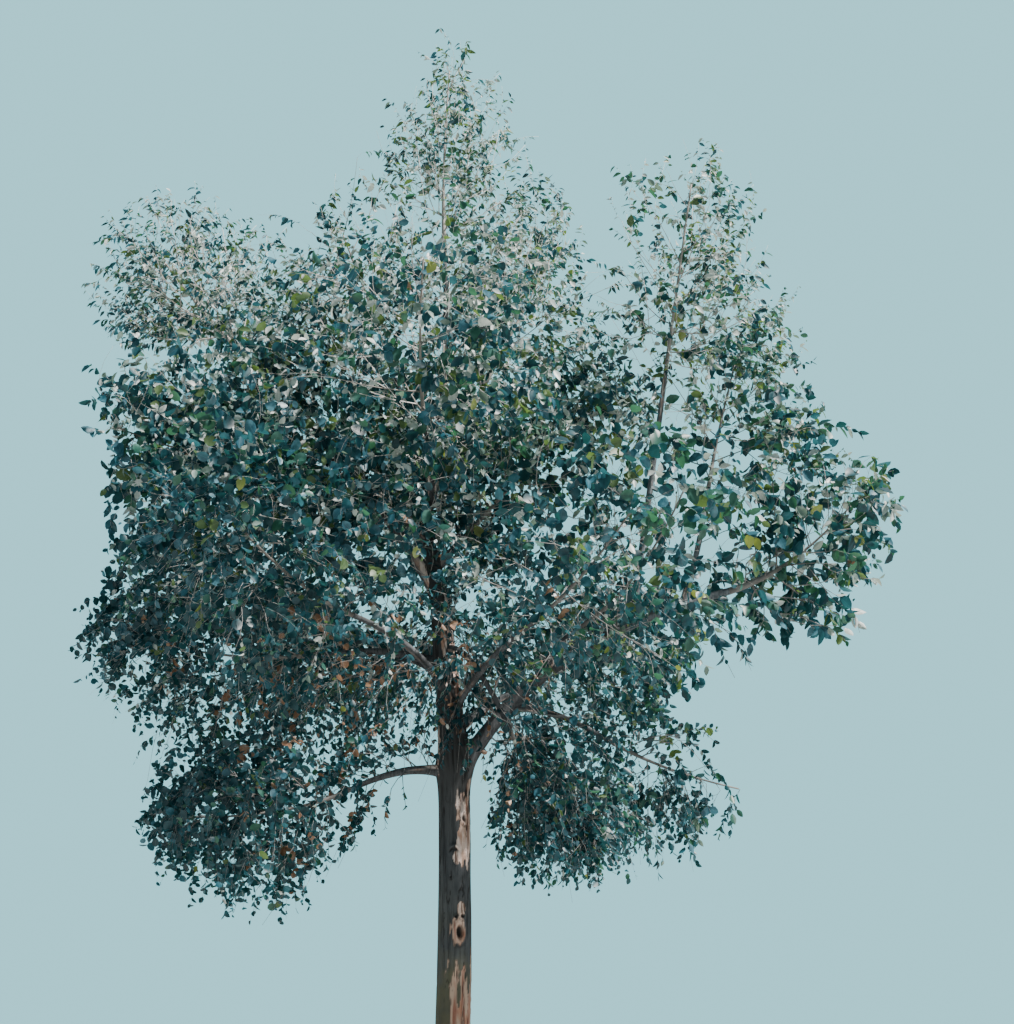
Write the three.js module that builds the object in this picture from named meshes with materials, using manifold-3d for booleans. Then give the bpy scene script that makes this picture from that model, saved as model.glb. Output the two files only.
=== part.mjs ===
// A potted cider gum: a young gum tree about 4.6 m tall that stands in a plain clay pot.
// Millimetres, +Z up, +X to the right and +Y away from the viewer.
// The origin is the centre of the pot's flat underside.
import * as THREE from 'three';
import { mergeVertices } from 'three/addons/utils/BufferGeometryUtils.js';
import Module from 'manifold-3d';

const wasm = await Module();
wasm.setup();

// Gap between pieces that touch on the real plant
const CONTACT_GAP = 0.3;

// Pot and soil
const POT = {
  height: 680,
  footRadius: 320,
  topRadius: 425,
  rimHeight: 84,
  rimOut: 24,
  wall: 30,
  floor: 36,
  edge: 9,
  sides: 32,
};
const DRAIN = { count: 3, radius: 20, distance: 170, sides: 8 };
const SOIL = { top: 620, fall: 22, flatRadius: 150 };

// Trunk: the heights where it changes its lean or its girth
const FOOT = SOIL.top + CONTACT_GAP;
const TRUNK_AXIS = [
  [0, 0, FOOT],
  [0, 0, 1100],
  [3, 0, 1750],
  [-11, 0, 2320],
  [-70, 4, 2870],
  [-120, 8, 3180],
  [-74, 0, 3420],
];
const TRUNK_GIRTH = [
  [FOOT, 66],
  [1340, 61],
  [2090, 56],
  [2240, 59],
  [2420, 47],
  [2660, 41],
  [2870, 33],
  [3060, 25],
  [3420, 15],
];
const TRUNK = { sides: 12, flareRings: [0, 0.014, 0.035, 0.07], aboveFlare: 0.14, steps: 14 };
const ROOT_FLARE = { out: 34, height: 62, lobes: 5, depth: 0.13 };

// Boughs, each with the mass of foliage that it enters.
// at: where it leaves its parent, from 0 at the root to 1 at the tip
// rise: its angle above level where it leaves, in degrees
// swing: how far it leaves sideways of the straight way to its mass, in degrees
// thick: radius at its root and at its tip
// centre, size: middle and half widths of the space that its foliage fills
// lift: how far its twigs bend up, or down where it is negative
// slim: leaves of this mass are long and narrow, as on the young tips
const BOUGHS = [
  { name: 'left_low', parent: 'trunk', at: 0.56, rise: 14, swing: 4, thick: [17, 9],
    centre: [-730, -190, 2070], size: [430, 480, 390], lift: -0.3 },
  { name: 'right', parent: 'trunk', at: 0.545, rise: 66, swing: 0, thick: [30, 14],
    centre: [1310, 60, 3090], size: [390, 500, 450], lift: 0.05 },
  { name: 'left_diagonal', parent: 'trunk', at: 0.8, rise: 58, swing: 6, thick: [22, 11],
    centre: [-1110, 170, 4170], size: [430, 490, 460], lift: 0.3, slim: true },
  { name: 'top', parent: 'trunk', at: 1, rise: 84, swing: 0, thick: [13, 9],
    centre: [-50, 0, 4715], size: [290, 310, 510], lift: 0.45, slim: true },
  { name: 'upper_left', parent: 'trunk', at: 0.965, rise: 60, swing: 0, thick: [12, 9],
    centre: [-410, -220, 4120], size: [380, 460, 490], lift: 0.3, slim: true },
  { name: 'upper_right', parent: 'trunk', at: 0.93, rise: 64, swing: 0, thick: [13, 9],
    centre: [280, 240, 4130], size: [330, 480, 600], lift: 0.3, slim: true },
  { name: 'left_middle', parent: 'left_diagonal', at: 0.45, rise: 30, swing: 14, thick: [12, 9],
    centre: [-1000, -270, 3380], size: [460, 510, 450], lift: 0.05 },
  { name: 'left_outer', parent: 'trunk', at: 0.7, rise: 26, swing: -8, thick: [16, 9],
    centre: [-960, 230, 2710], size: [500, 520, 450], lift: -0.12 },
  { name: 'centre_left', parent: 'trunk', at: 0.86, rise: 40, swing: 24, thick: [13, 9],
    centre: [-480, -60, 3440], size: [400, 460, 460], lift: 0.1 },
  { name: 'centre_right', parent: 'trunk', at: 0.83, rise: 50, swing: 12, thick: [14, 9],
    centre: [290, 60, 3390], size: [390, 460, 460], lift: 0.1 },
  { name: 'right_upright', parent: 'right', at: 0.7, rise: 80, swing: 20, thick: [13, 9],
    centre: [850, -190, 4140], size: [370, 460, 540], lift: 0.4, slim: true },
  { name: 'right_upper', parent: 'right', at: 0.86, rise: 70, swing: -14, thick: [12, 9],
    centre: [1050, 220, 3650], size: [430, 500, 400], lift: 0.2 },
  { name: 'right_middle', parent: 'right', at: 0.42, rise: 62, swing: -40, thick: [13, 9],
    centre: [670, -260, 2980], size: [390, 450, 430], lift: 0.05 },
  { name: 'right_low', parent: 'right', at: 0.28, rise: 2, swing: 16, thick: [12, 9],
    centre: [860, 190, 2230], size: [350, 450, 370], lift: -0.35 },
  { name: 'low_right', parent: 'trunk', at: 0.72, rise: 8, swing: -30, thick: [11, 9],
    centre: [370, -230, 2120], size: [310, 430, 340], lift: -0.4 },
  { name: 'front_upper', parent: 'trunk', at: 0.88, rise: 40, swing: 10, thick: [14, 9],
    centre: [-90, -770, 3600], size: [540, 460, 510], lift: 0.15 },
  { name: 'front_left', parent: 'trunk', at: 0.66, rise: 36, swing: 8, thick: [15, 9],
    centre: [-560, -800, 2830], size: [500, 460, 480], lift: -0.1 },
  { name: 'front_right', parent: 'trunk', at: 0.63, rise: 34, swing: -8, thick: [14, 9],
    centre: [470, -800, 2830], size: [460, 460, 460], lift: -0.1 },
  { name: 'back_upper', parent: 'trunk', at: 0.9, rise: 42, swing: -6, thick: [15, 9],
    centre: [-60, 800, 3660], size: [620, 500, 600], lift: 0.15 },
  { name: 'back_left', parent: 'trunk', at: 0.68, rise: 34, swing: 10, thick: [16, 9],
    centre: [-560, 830, 2790], size: [530, 500, 510], lift: -0.1 },
  { name: 'back_right', parent: 'trunk', at: 0.61, rise: 34, swing: -8, thick: [16, 9],
    centre: [530, 830, 2810], size: [530, 500, 510], lift: -0.1 },
];

// How far a bough runs into the space of its mass, as a share of the way to the middle
const ENTER = 0.1;
const BOUGH = { sides: 6, steps: 4 };

// The growth rule of a mass
const SEED = 7;
const GOLDEN_ANGLE = 137.5;
const STEM = { reach: 0.6, steps: 3, tip: 7.5 };
const BRANCH = {
  count: 7,
  first: 0.1,
  last: 0.92,
  open: [82, 40],
  stray: 0.5,
  reach: 1,
  steps: 2,
};
const TWIG = {
  at: [0.35],
  open: 55,
  reach: 0.95,
  steps: 1,
  shares: [1, 0.8, 0.6, 0.4],
  shortest: 60,
};
// How thick a branch or twig is at its root, as a share of what it grows on, and at its tip
const TAPER = { root: 0.38, tip: 0.85 };
// Room round the pieces: between two masses, as a share of their sizes, and round a limb or a leaf
const CLEARANCE = { cell: 0.03, limb: 4, leaf: 3 };
const LEAF = {
  length: 206,
  width: 184,
  slimWidth: 112,
  vary: 0.15,
  thick: 7,
  widest: 0.42,
  open: 58,
  spin: 0.6,
  pairAt: 0.7,
};

const rad = THREE.MathUtils.degToRad;
const UP = new THREE.Vector3(0, 0, 1);

// A number from 0 to 1 worked out from whole-number keys, the same on every run
function chance(...keys) {
  let mixed = SEED;
  for (const key of keys) {
    mixed = Math.imul(mixed ^ key, 0x9e3779b1);
    mixed ^= mixed >>> 15;
    mixed = Math.imul(mixed, 0x85ebca6b);
    mixed ^= mixed >>> 13;
  }
  return (mixed >>> 0) / 2 ** 32;
}

// A number from -1 to 1 from the same keys
const jitter = (...keys) => 2 * chance(...keys) - 1;

// Value at x of straight lines through [x, value] stations
function alongStations(stations, x) {
  const next = stations.findIndex(([place]) => place >= x);
  if (next === 0) return stations[0][1];
  if (next < 0) return stations[stations.length - 1][1];
  const [x0, v0] = stations[next - 1];
  const [x1, v1] = stations[next];
  return THREE.MathUtils.mapLinear(x, x0, x1, v0, v1);
}

// Unit vector at an angle `open` from `along`, turned by `turn` round it
function sideways(along, open, turn) {
  const level = Math.abs(along.z) > 0.9 ? new THREE.Vector3(1, 0, 0) : UP;
  const a = new THREE.Vector3().crossVectors(level, along).normalize();
  const b = new THREE.Vector3().crossVectors(along, a);
  return along.clone().multiplyScalar(Math.cos(open))
    .addScaledVector(a, Math.sin(open) * Math.cos(turn))
    .addScaledVector(b, Math.sin(open) * Math.sin(turn));
}

// Solids and meshes

function toSolid(geometry) {
  const bare = geometry.clone();
  bare.deleteAttribute('normal');
  bare.deleteAttribute('uv');
  const merged = mergeVertices(bare, 1e-4);
  const corners = merged.index.array;
  const faces = [];
  for (let i = 0; i < corners.length; i += 3) {
    const [a, b, c] = corners.slice(i, i + 3);
    if (a !== b && b !== c && c !== a) faces.push(a, b, c);
  }
  return new wasm.Manifold(new wasm.Mesh({
    numProp: 3,
    vertProperties: merged.attributes.position.array,
    triVerts: new Uint32Array(faces),
  }));
}

// The largest closed body of a solid, without scraps or sealed hollows
function largestBody(solid) {
  const bodies = solid.decompose();
  bodies.sort((a, b) => b.volume() - a.volume());
  return bodies[0].simplify(0.02);
}

function toGeometry(solid) {
  const mesh = solid.getMesh();
  const geometry = new THREE.BufferGeometry();
  geometry.setAttribute('position', new THREE.Float32BufferAttribute(mesh.vertProperties, 3));
  geometry.setIndex(new THREE.BufferAttribute(mesh.triVerts, 1));
  geometry.computeVertexNormals();
  return geometry;
}

// A closed cylinder whose rings are moved onto sections.
// A section is a place with two half widths, `across` and `over`, square to the way along.
// swell: how far out a point of a ring lies, from the ring's number and its angle
function sweptGeometry(sections, sides, swell = () => 1) {
  const steps = sections.length - 1;
  const geometry = new THREE.CylinderGeometry(1, 1, 1, sides, steps);
  const place = geometry.attributes.position;
  for (let i = 0; i < place.count; i += 1) {
    const [x, y, z] = [place.getX(i), place.getY(i), place.getZ(i)];
    const ring = Math.round((0.5 + y) * steps);
    const out = swell(ring, Math.atan2(z, x));
    const { at, across, over } = sections[ring];
    const point = at.clone().addScaledVector(across, x * out).addScaledVector(over, z * out);
    place.setXYZ(i, point.x, point.y, point.z);
  }
  return geometry;
}

const evenly = (steps) => Array.from({ length: steps + 1 }, (_, i) => i / steps);

// Sections along a curve: `plane` is a vector that stays square to every section's over side
function sectionsAlong(curve, shares, plane, radiusAt) {
  return shares.map((t) => {
    const along = curve.getTangentAt(t);
    const across = plane.clone().addScaledVector(along, -plane.dot(along)).normalize();
    const over = new THREE.Vector3().crossVectors(across, along);
    const radius = radiusAt(t);
    return {
      at: curve.getPointAt(t),
      across: across.multiplyScalar(radius),
      over: over.multiplyScalar(radius),
    };
  });
}

// Sections along a bend of three points, turned by `turn` round it
function bendSections(bend, thick, steps, turn = 0) {
  const plane = new THREE.Vector3().crossVectors(
    bend.v1.clone().sub(bend.v0), bend.v2.clone().sub(bend.v1));
  if (plane.length() < 1) plane.copy(sideways(bend.getTangent(0), Math.PI / 2, 0));
  plane.normalize().applyAxisAngle(bend.getTangent(0.5), turn);
  return sectionsAlong(bend, evenly(steps), plane, (t) => THREE.MathUtils.lerp(thick[0], thick[1], t));
}

// Trunk

const trunkCurve = new THREE.CatmullRomCurve3(TRUNK_AXIS.map((p) => new THREE.Vector3(...p)));

const trunkHeight = (t) => trunkCurve.getPointAt(t).z;

// How much of the root flare is left: all of it at the foot, fading as it rises
const flareLeft = (t) => Math.exp(-(trunkHeight(t) - FOOT) / ROOT_FLARE.height);

const trunkRadius = (t) => alongStations(TRUNK_GIRTH, trunkHeight(t)) + ROOT_FLARE.out * flareLeft(t);

// The root flare stands out in lobes, which fade up the trunk as it does.
// more: how much wider and longer the trunk is made, to cut a seat clear of it
function trunkSolid(more = 0) {
  const upper = evenly(TRUNK.steps).map((t) => THREE.MathUtils.lerp(TRUNK.aboveFlare, 1, t));
  const shares = [...TRUNK.flareRings, ...upper];
  const plane = new THREE.Vector3(0, 1, 0);
  const sections = sectionsAlong(trunkCurve, shares, plane, (t) => trunkRadius(t) + more);
  sections[sections.length - 1].at.addScaledVector(trunkCurve.getTangentAt(1), more);
  const swell = (ring, angle) => (
    1 + ROOT_FLARE.depth * flareLeft(shares[ring]) * Math.cos(ROOT_FLARE.lobes * angle));
  return toSolid(sweptGeometry(sections, TRUNK.sides, swell));
}

// Spaces of the masses

// Distance from a mass's middle, where 1 is the edge of its space
function depthIn(mass, point) {
  const { centre, size } = mass;
  return Math.hypot(
    (point.x - centre[0]) / size[0], (point.y - centre[1]) / size[1], (point.z - centre[2]) / size[2]);
}

function ownsPoint(mass, point) {
  const depth = depthIn(mass, point);
  if (depth > 1) return false;
  return BOUGHS.every((other) => other === mass || depthIn(other, point) > depth + CLEARANCE.cell);
}

// Distance along a unit direction from a point inside a mass's space to its edge
function wayToEdge(mass, from, direction) {
  const p = new THREE.Vector3(...mass.centre).sub(from).negate();
  const size = new THREE.Vector3(...mass.size);
  const q = p.divide(size);
  const d = direction.clone().divide(size);
  const a = d.dot(d);
  const b = q.dot(d);
  const c = q.dot(q) - 1;
  return c > 0 ? 0 : (Math.sqrt(b * b - a * c) - b) / a;
}

// Boughs: each bends over from its rise to the near side of its mass

const limbs = { trunk: trunkCurve };

function boughCurve(bough) {
  const root = limbs[bough.parent].getPointAt(bough.at);
  const centre = new THREE.Vector3(...bough.centre);
  const back = root.clone().sub(centre);
  const tip = centre.addScaledVector(back, (1 - ENTER) / depthIn(bough, root));
  const way = tip.clone().sub(root);
  const heading = Math.atan2(way.y, way.x) + rad(bough.swing);
  const rise = rad(bough.rise);
  const leave = new THREE.Vector3(
    Math.cos(heading) * Math.cos(rise), Math.sin(heading) * Math.cos(rise), Math.sin(rise));
  const knee = root.clone().addScaledVector(leave, way.length() * 0.45);
  return new THREE.QuadraticBezierCurve3(root, knee, tip);
}

for (const bough of BOUGHS) {
  limbs[bough.name] = boughCurve(bough);
}

function boughSolid(bough, more = 0) {
  const thick = bough.thick.map((radius) => radius + more);
  return toSolid(sweptGeometry(bendSections(limbs[bough.name], thick, BOUGH.steps), BOUGH.sides));
}

const limbSolids = [trunkSolid(), ...BOUGHS.map((bough) => boughSolid(bough))];

// Growth of one mass: its stem, branches, twigs and leaves

// A twig that leaves a place in a direction and bends up or down by its lift
function twigCurve(from, direction, length, lift) {
  const knee = from.clone().addScaledVector(direction, length / 2);
  const tip = from.clone().addScaledVector(direction, length).addScaledVector(UP, lift * length);
  return new THREE.QuadraticBezierCurve3(from, knee, tip);
}

// True where the twig, and a leaf on its tip, keep to the mass's space
function twigFits(mass, curve) {
  const leafTip = curve.getPoint(1).addScaledVector(curve.getTangent(1), LEAF.length);
  return ownsPoint(mass, leafTip) && evenly(8).slice(2).every((t) => ownsPoint(mass, curve.getPoint(t)));
}

// Shorter and shorter twigs that leave a place in a direction and keep to the mass's space
function fittingTwigs(mass, from, direction, reach) {
  const way = wayToEdge(mass, from, direction) * reach - LEAF.length;
  return TWIG.shares
    .map((share) => twigCurve(from, direction, Math.max(way, TWIG.shortest) * share, mass.lift))
    .filter((curve) => twigFits(mass, curve));
}

// Sections of a leaf: where it is widest, and its point. Its face is the way of `over`.
function leafSections(root, along, face, length, width) {
  const side = new THREE.Vector3().crossVectors(along, face);
  const place = (share) => root.clone().addScaledVector(along, share * length);
  return [
    {
      at: place(LEAF.widest),
      across: side.multiplyScalar(width / 2 / Math.sin(Math.PI / 3)),
      over: face.clone().multiplyScalar(LEAF.thick / 1.5),
    },
    { at: place(1), across: new THREE.Vector3(), over: new THREE.Vector3() },
  ];
}

function leafFits(mass, [{ at, across }, { at: point }]) {
  const corners = [at, point, at.clone().add(across), at.clone().sub(across)];
  return corners.every((corner) => ownsPoint(mass, corner));
}

function leafSize(mass, keys) {
  const size = 1 + LEAF.vary * jitter(...keys, 4);
  return [LEAF.length * size, (mass.slim ? LEAF.slimWidth : LEAF.width) * size];
}

// A three-sided twig, alone and with its tip widened into a leaf where that fits
function twigGeometries(mass, { sections, keys }) {
  const last = sections[sections.length - 1];
  const along = last.at.clone().sub(sections[sections.length - 2].at).normalize();
  const face = last.over.clone().normalize();
  const blade = leafSections(last.at, along, face, ...leafSize(mass, keys));
  const bare = sweptGeometry(sections, 3);
  return leafFits(mass, blade) ? [sweptGeometry([...sections, ...blade], 3), bare] : [bare];
}

// A place on a grown limb's own straight stretches, with the way along there and its radius
function placeOn({ sections }, share) {
  const place = share * (sections.length - 1);
  const from = sections[Math.floor(place)];
  const to = sections[Math.floor(place) + 1];
  return {
    at: from.at.clone().lerp(to.at, place % 1),
    along: to.at.clone().sub(from.at).normalize(),
    radius: THREE.MathUtils.lerp(from.over.length(), to.over.length(), place % 1),
  };
}

// One leaf of a pair on a twig: none where it doesn't fit
function leafGeometries(mass, { at, along, radius }, keys, turn) {
  const way = sideways(along, rad(LEAF.open), turn);
  const face = sideways(along, rad(LEAF.open + 90), turn);
  face.applyAxisAngle(way, LEAF.spin * jitter(...keys, 3));
  const side = new THREE.Vector3().crossVectors(way, face);
  const foot = TAPER.root * radius;
  const blade = leafSections(at, way, face, ...leafSize(mass, keys));
  const stalk = { at, across: side.multiplyScalar(foot), over: face.clone().multiplyScalar(foot) };
  return leafFits(mass, blade) ? [sweptGeometry([stalk, ...blade], 3)] : [];
}

// The stem runs from the bough's tip past the middle of the mass
function stemCurve(mass) {
  const bough = limbs[mass.name];
  const leave = bough.getTangent(1);
  const root = bough.getPoint(1).addScaledVector(leave, CONTACT_GAP);
  const centre = new THREE.Vector3(...mass.centre);
  const far = centre.clone().sub(root).multiplyScalar(STEM.reach / depthIn(mass, root)).add(centre);
  const knee = root.clone().addScaledVector(leave, root.distanceTo(far) * 0.4);
  return new THREE.QuadraticBezierCurve3(root, knee, far);
}

// One fused mass. Each piece is kept where it touches no limb and nothing but what it grows on.
function massSolid(mass, order) {
  const grown = [];

  function keep(geometries, besides) {
    return geometries.map(toSolid).find((solid) => {
      const apart = (other, gap) => other.minGap(solid, gap) >= gap;
      const clear = limbSolids.every((limb) => apart(limb, CLEARANCE.limb))
        && grown.every((other) => besides.includes(other) || apart(other, CLEARANCE.leaf));
      if (clear) grown.push(solid);
      return clear;
    });
  }

  // The longest twig that has room, with its leaf, or none
  function growTwig(parent, share, open, turn, keys, { reach, steps }) {
    const place = placeOn(parent, share);
    const root = TAPER.root * place.radius;
    const curves = fittingTwigs(mass, place.at, sideways(place.along, rad(open), turn), reach);
    for (const curve of curves) {
      const sections = bendSections(curve, [root, TAPER.tip * root], steps, Math.PI * jitter(...keys, 6));
      const twig = { sections, keys };
      twig.solid = keep(twigGeometries(mass, twig), [parent.solid]);
      if (twig.solid) return [twig];
    }
    return [];
  }

  const stemThick = [mass.thick[1], STEM.tip];
  const stem = { keys: [order], sections: bendSections(stemCurve(mass), stemThick, STEM.steps) };
  stem.solid = toSolid(twigGeometries(mass, stem)[0]);
  grown.push(stem.solid);

  const branches = evenly(BRANCH.count - 1).flatMap((share, i) => {
    const at = THREE.MathUtils.lerp(BRANCH.first, BRANCH.last, share);
    const open = THREE.MathUtils.lerp(BRANCH.open[0], BRANCH.open[1], share);
    const turn = rad(GOLDEN_ANGLE * i) + BRANCH.stray * jitter(order, i, 1);
    return growTwig(stem, at, open, turn, [order, i], BRANCH);
  });
  for (const branch of branches) {
    TWIG.at.forEach((at, k) => {
      const turn = 2 * Math.PI * chance(...branch.keys, k, 5);
      growTwig(branch, at, TWIG.open, turn, [...branch.keys, 20 + k], TWIG);
    });
  }
  for (const branch of branches) {
    const turn = Math.PI * chance(...branch.keys, 7);
    const place = placeOn(branch, LEAF.pairAt);
    const besides = [branch.solid];
    for (const half of [0, 1]) {
      const leaf = leafGeometries(mass, place, [...branch.keys, 30 + half], turn + half * Math.PI);
      besides.push(keep(leaf, besides));
    }
  }
  return largestBody(wasm.Manifold.union(grown));
}

// Pot and soil

function potRadius(height) {
  return THREE.MathUtils.lerp(POT.footRadius, POT.topRadius, height / POT.height);
}

function potSolid() {
  const rimFoot = POT.height - POT.rimHeight;
  const rimRadius = POT.topRadius + POT.rimOut;
  const profile = [
    [0, 0],
    [POT.footRadius - POT.edge, 0],
    [POT.footRadius, POT.edge],
    [potRadius(rimFoot), rimFoot],
    [rimRadius - POT.edge, rimFoot],
    [rimRadius, rimFoot + POT.edge],
    [rimRadius, POT.height - 2 * POT.edge],
    [rimRadius - 2 * POT.edge, POT.height],
    [potRadius(POT.height) - POT.wall, POT.height],
    [potRadius(POT.height) - POT.wall - POT.edge, POT.height - POT.edge],
    [potRadius(POT.floor) - POT.wall, POT.floor],
    [0, POT.floor],
  ];
  const lathe = new THREE.LatheGeometry(profile.map((p) => new THREE.Vector2(...p)), POT.sides);
  lathe.rotateX(Math.PI / 2);
  let pot = toSolid(lathe);
  for (let i = 0; i < DRAIN.count; i += 1) {
    const hole = new THREE.CylinderGeometry(DRAIN.radius, DRAIN.radius, 3 * POT.floor, DRAIN.sides);
    hole.rotateX(Math.PI / 2);
    const angle = (i / DRAIN.count) * 2 * Math.PI;
    hole.translate(DRAIN.distance * Math.cos(angle), DRAIN.distance * Math.sin(angle), 0);
    pot = pot.subtract(toSolid(hole));
  }
  return pot;
}

function soilSolid() {
  const bottom = POT.floor + CONTACT_GAP;
  const edgeHeight = SOIL.top - SOIL.fall;
  const wallGap = POT.wall + 2 * CONTACT_GAP;
  const inside = (height) => THREE.MathUtils.mapLinear(
    height, POT.floor, POT.height - POT.edge,
    potRadius(POT.floor) - wallGap, potRadius(POT.height) - wallGap - POT.edge);
  const profile = [
    [0, bottom],
    [inside(bottom), bottom],
    [inside(edgeHeight), edgeHeight],
    [SOIL.flatRadius, SOIL.top],
    [0, SOIL.top],
  ];
  const lathe = new THREE.LatheGeometry(profile.map((p) => new THREE.Vector2(...p)), POT.sides);
  lathe.rotateX(Math.PI / 2);
  return toSolid(lathe);
}

// Assembly

const material = (color, roughness) => new THREE.MeshStandardMaterial({ color, roughness, metalness: 0 });
const clay = material(0xb4683f, 0.85);
const earth = material(0x4a3a2c, 1);
const bark = material(0x9a8672, 0.85);
const roundFoliage = material(0x4f7f78, 0.6);
const slimFoliage = material(0x8aa59a, 0.6);

const group = new THREE.Group();

function addNode(name, solid, look) {
  const mesh = new THREE.Mesh(toGeometry(solid), look);
  mesh.name = name;
  group.add(mesh);
}

addNode('pot', potSolid(), clay);
addNode('soil', soilSolid(), earth);
addNode('trunk', trunkSolid(), bark);

for (const bough of BOUGHS) {
  const parent = BOUGHS.find((other) => other.name === bough.parent);
  const seat = parent ? boughSolid(parent, CONTACT_GAP) : trunkSolid(CONTACT_GAP);
  addNode(`bough_${bough.name}`, largestBody(boughSolid(bough).subtract(seat)), bark);
}

BOUGHS.forEach((bough, order) => {
  addNode(`foliage_${bough.name}`, massSolid(bough, order), bough.slim ? slimFoliage : roundFoliage);
});

export default group;
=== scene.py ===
# %% [markdown]
# # A potted cider gum
#
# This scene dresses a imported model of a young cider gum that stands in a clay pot. The
# model is the frame: it says where the trunk, the boughs and the masses of foliage are.
# Blender adds what the eye looks for: bark that peels, clay, soil, and tens of thousands
# of round blue-green leaves on fine pale twigs.
#
# Everything is in metres, with +Z up, +X to the right and +Y away from the viewer.

# %% Load the frame
from itertools import combinations

import bpy
import numpy as np
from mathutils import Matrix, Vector


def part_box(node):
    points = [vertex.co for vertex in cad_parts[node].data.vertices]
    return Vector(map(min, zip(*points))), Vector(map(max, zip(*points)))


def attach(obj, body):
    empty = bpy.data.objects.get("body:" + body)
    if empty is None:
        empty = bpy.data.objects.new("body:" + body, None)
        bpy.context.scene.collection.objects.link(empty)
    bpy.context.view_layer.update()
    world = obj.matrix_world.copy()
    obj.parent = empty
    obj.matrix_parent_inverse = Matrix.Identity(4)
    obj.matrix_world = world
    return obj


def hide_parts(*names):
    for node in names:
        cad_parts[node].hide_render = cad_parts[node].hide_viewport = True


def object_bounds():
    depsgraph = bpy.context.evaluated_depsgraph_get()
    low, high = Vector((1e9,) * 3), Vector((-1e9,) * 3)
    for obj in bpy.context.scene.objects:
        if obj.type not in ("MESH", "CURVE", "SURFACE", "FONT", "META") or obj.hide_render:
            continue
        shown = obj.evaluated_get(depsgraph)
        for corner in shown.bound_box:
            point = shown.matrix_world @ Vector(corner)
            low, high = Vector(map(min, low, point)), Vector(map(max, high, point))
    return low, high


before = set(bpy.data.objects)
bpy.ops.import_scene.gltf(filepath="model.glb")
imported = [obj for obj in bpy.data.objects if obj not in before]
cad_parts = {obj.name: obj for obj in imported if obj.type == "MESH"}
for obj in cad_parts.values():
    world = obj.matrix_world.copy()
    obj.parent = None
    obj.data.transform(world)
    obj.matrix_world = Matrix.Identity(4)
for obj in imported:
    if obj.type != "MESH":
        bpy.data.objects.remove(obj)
cad_low, cad_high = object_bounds()
print("frame:", len(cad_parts), "nodes, box", list(cad_low), list(cad_high))

# %% [markdown]
# ## Camera
#
# The viewer stands about 6 m in front of the tree, at eye height, and looks up into the
# crown, so the pot is below the picture's edge. A focal length measured in pixels becomes
# a lens in millimetres once it is shared out over the sensor, whose 36 mm lie along the
# picture's longer side.

# %% Camera
PICTURE_HEIGHT_PX = 1024
FOCAL_PX = 1631
SENSOR_MM = 36.0
EYE = (0.187, -5.9, 1.6)
LOOK_UP = np.radians(14.9)


def new_object(name, data):
    """A new object in the scene that holds this mesh, camera or light."""
    thing = bpy.data.objects.new(name, data)
    bpy.context.scene.collection.objects.link(thing)
    return thing


camera_data = bpy.data.cameras.new("camera")
camera_data.sensor_width = SENSOR_MM
camera_data.lens = SENSOR_MM * FOCAL_PX / PICTURE_HEIGHT_PX
camera = new_object("camera", camera_data)
camera.location = EYE
camera.rotation_euler = (np.pi / 2 + LOOK_UP, 0, 0)
bpy.context.scene.camera = camera
print("camera: lens", round(camera_data.lens, 2), "mm")

# %% [markdown]
# ## Chance that can be repeated
#
# Nature looks random, but a scene has to come out the same on every run. So nothing here
# rolls dice: each number that looks random is worked out from whole-number keys, such as
# a twig's number, by mixing their bits. The same keys always give the same number.

# %% Seeded chance and smooth noise
SEED = 7
LOW_32_BITS = np.uint64(0xFFFFFFFF)


def chance(*keys):
    """Numbers from 0 to 1 from whole-number keys: each key is mixed in by exclusive-or,
    multiplication and shifts, all in 32 bits."""
    mixed = np.uint64(SEED)
    for key in keys:
        mixed = (mixed ^ np.asarray(key).astype(np.uint64)) * np.uint64(0x9E3779B1) & LOW_32_BITS
        mixed = mixed ^ (mixed >> np.uint64(15))
        mixed = mixed * np.uint64(0x85EBCA6B) & LOW_32_BITS
        mixed = mixed ^ (mixed >> np.uint64(13))
    return mixed / 2.0**32


def jitter(*keys):
    """Numbers from -1 to 1 from the same keys."""
    return 2 * chance(*keys) - 1


def lerp(a, b, t):
    """The value a share t of the way from a to b: a + (b - a) t."""
    return a + (b - a) * t


def smooth_step(low, high, x):
    """0 below low, 1 above high, and 3t^2 - 2t^3 between them."""
    t = np.clip((x - low) / (high - low), 0, 1)
    return t * t * (3 - 2 * t)


def cloud(across, along, wraps, seed):
    """Smooth noise from 0 to 1: a random value at each corner of a grid of unit cells,
    blended by 3t^2 - 2t^3 inside a cell. It repeats after `wraps` cells across."""
    cell_x, cell_y = np.floor(across), np.floor(along)
    blend_x = smooth_step(0, 1, across - cell_x)
    blend_y = smooth_step(0, 1, along - cell_y)

    def corner(dx, dy):
        return chance(np.mod(cell_x + dx, wraps), cell_y + dy, seed)

    lower = lerp(corner(0, 0), corner(1, 0), blend_x)
    upper = lerp(corner(0, 1), corner(1, 1), blend_x)
    return lerp(lower, upper, blend_y)


print("chance of keys 1, 2, 3:", np.round(chance(1, 2, 3), 6))

# %% [markdown]
# ## The plan of the tree
#
# The frame was grown from a short list: for each bough, where it leaves its parent and
# which way, and the space that its foliage fills, given as the middle and the half widths
# of an egg shape. The same list is used here, so that the fine twigs and the leaves stay
# where the model's plain ones are.

# %% The plan
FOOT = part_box("trunk")[0].z
TRUNK_AXIS = [
    (0.0, 0.0, FOOT), (0.0, 0.0, 1.1), (0.003, 0.0, 1.75), (-0.011, 0.0, 2.32),
    (-0.07, 0.004, 2.87), (-0.12, 0.008, 3.18), (-0.074, 0.0, 3.42),
]
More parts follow.
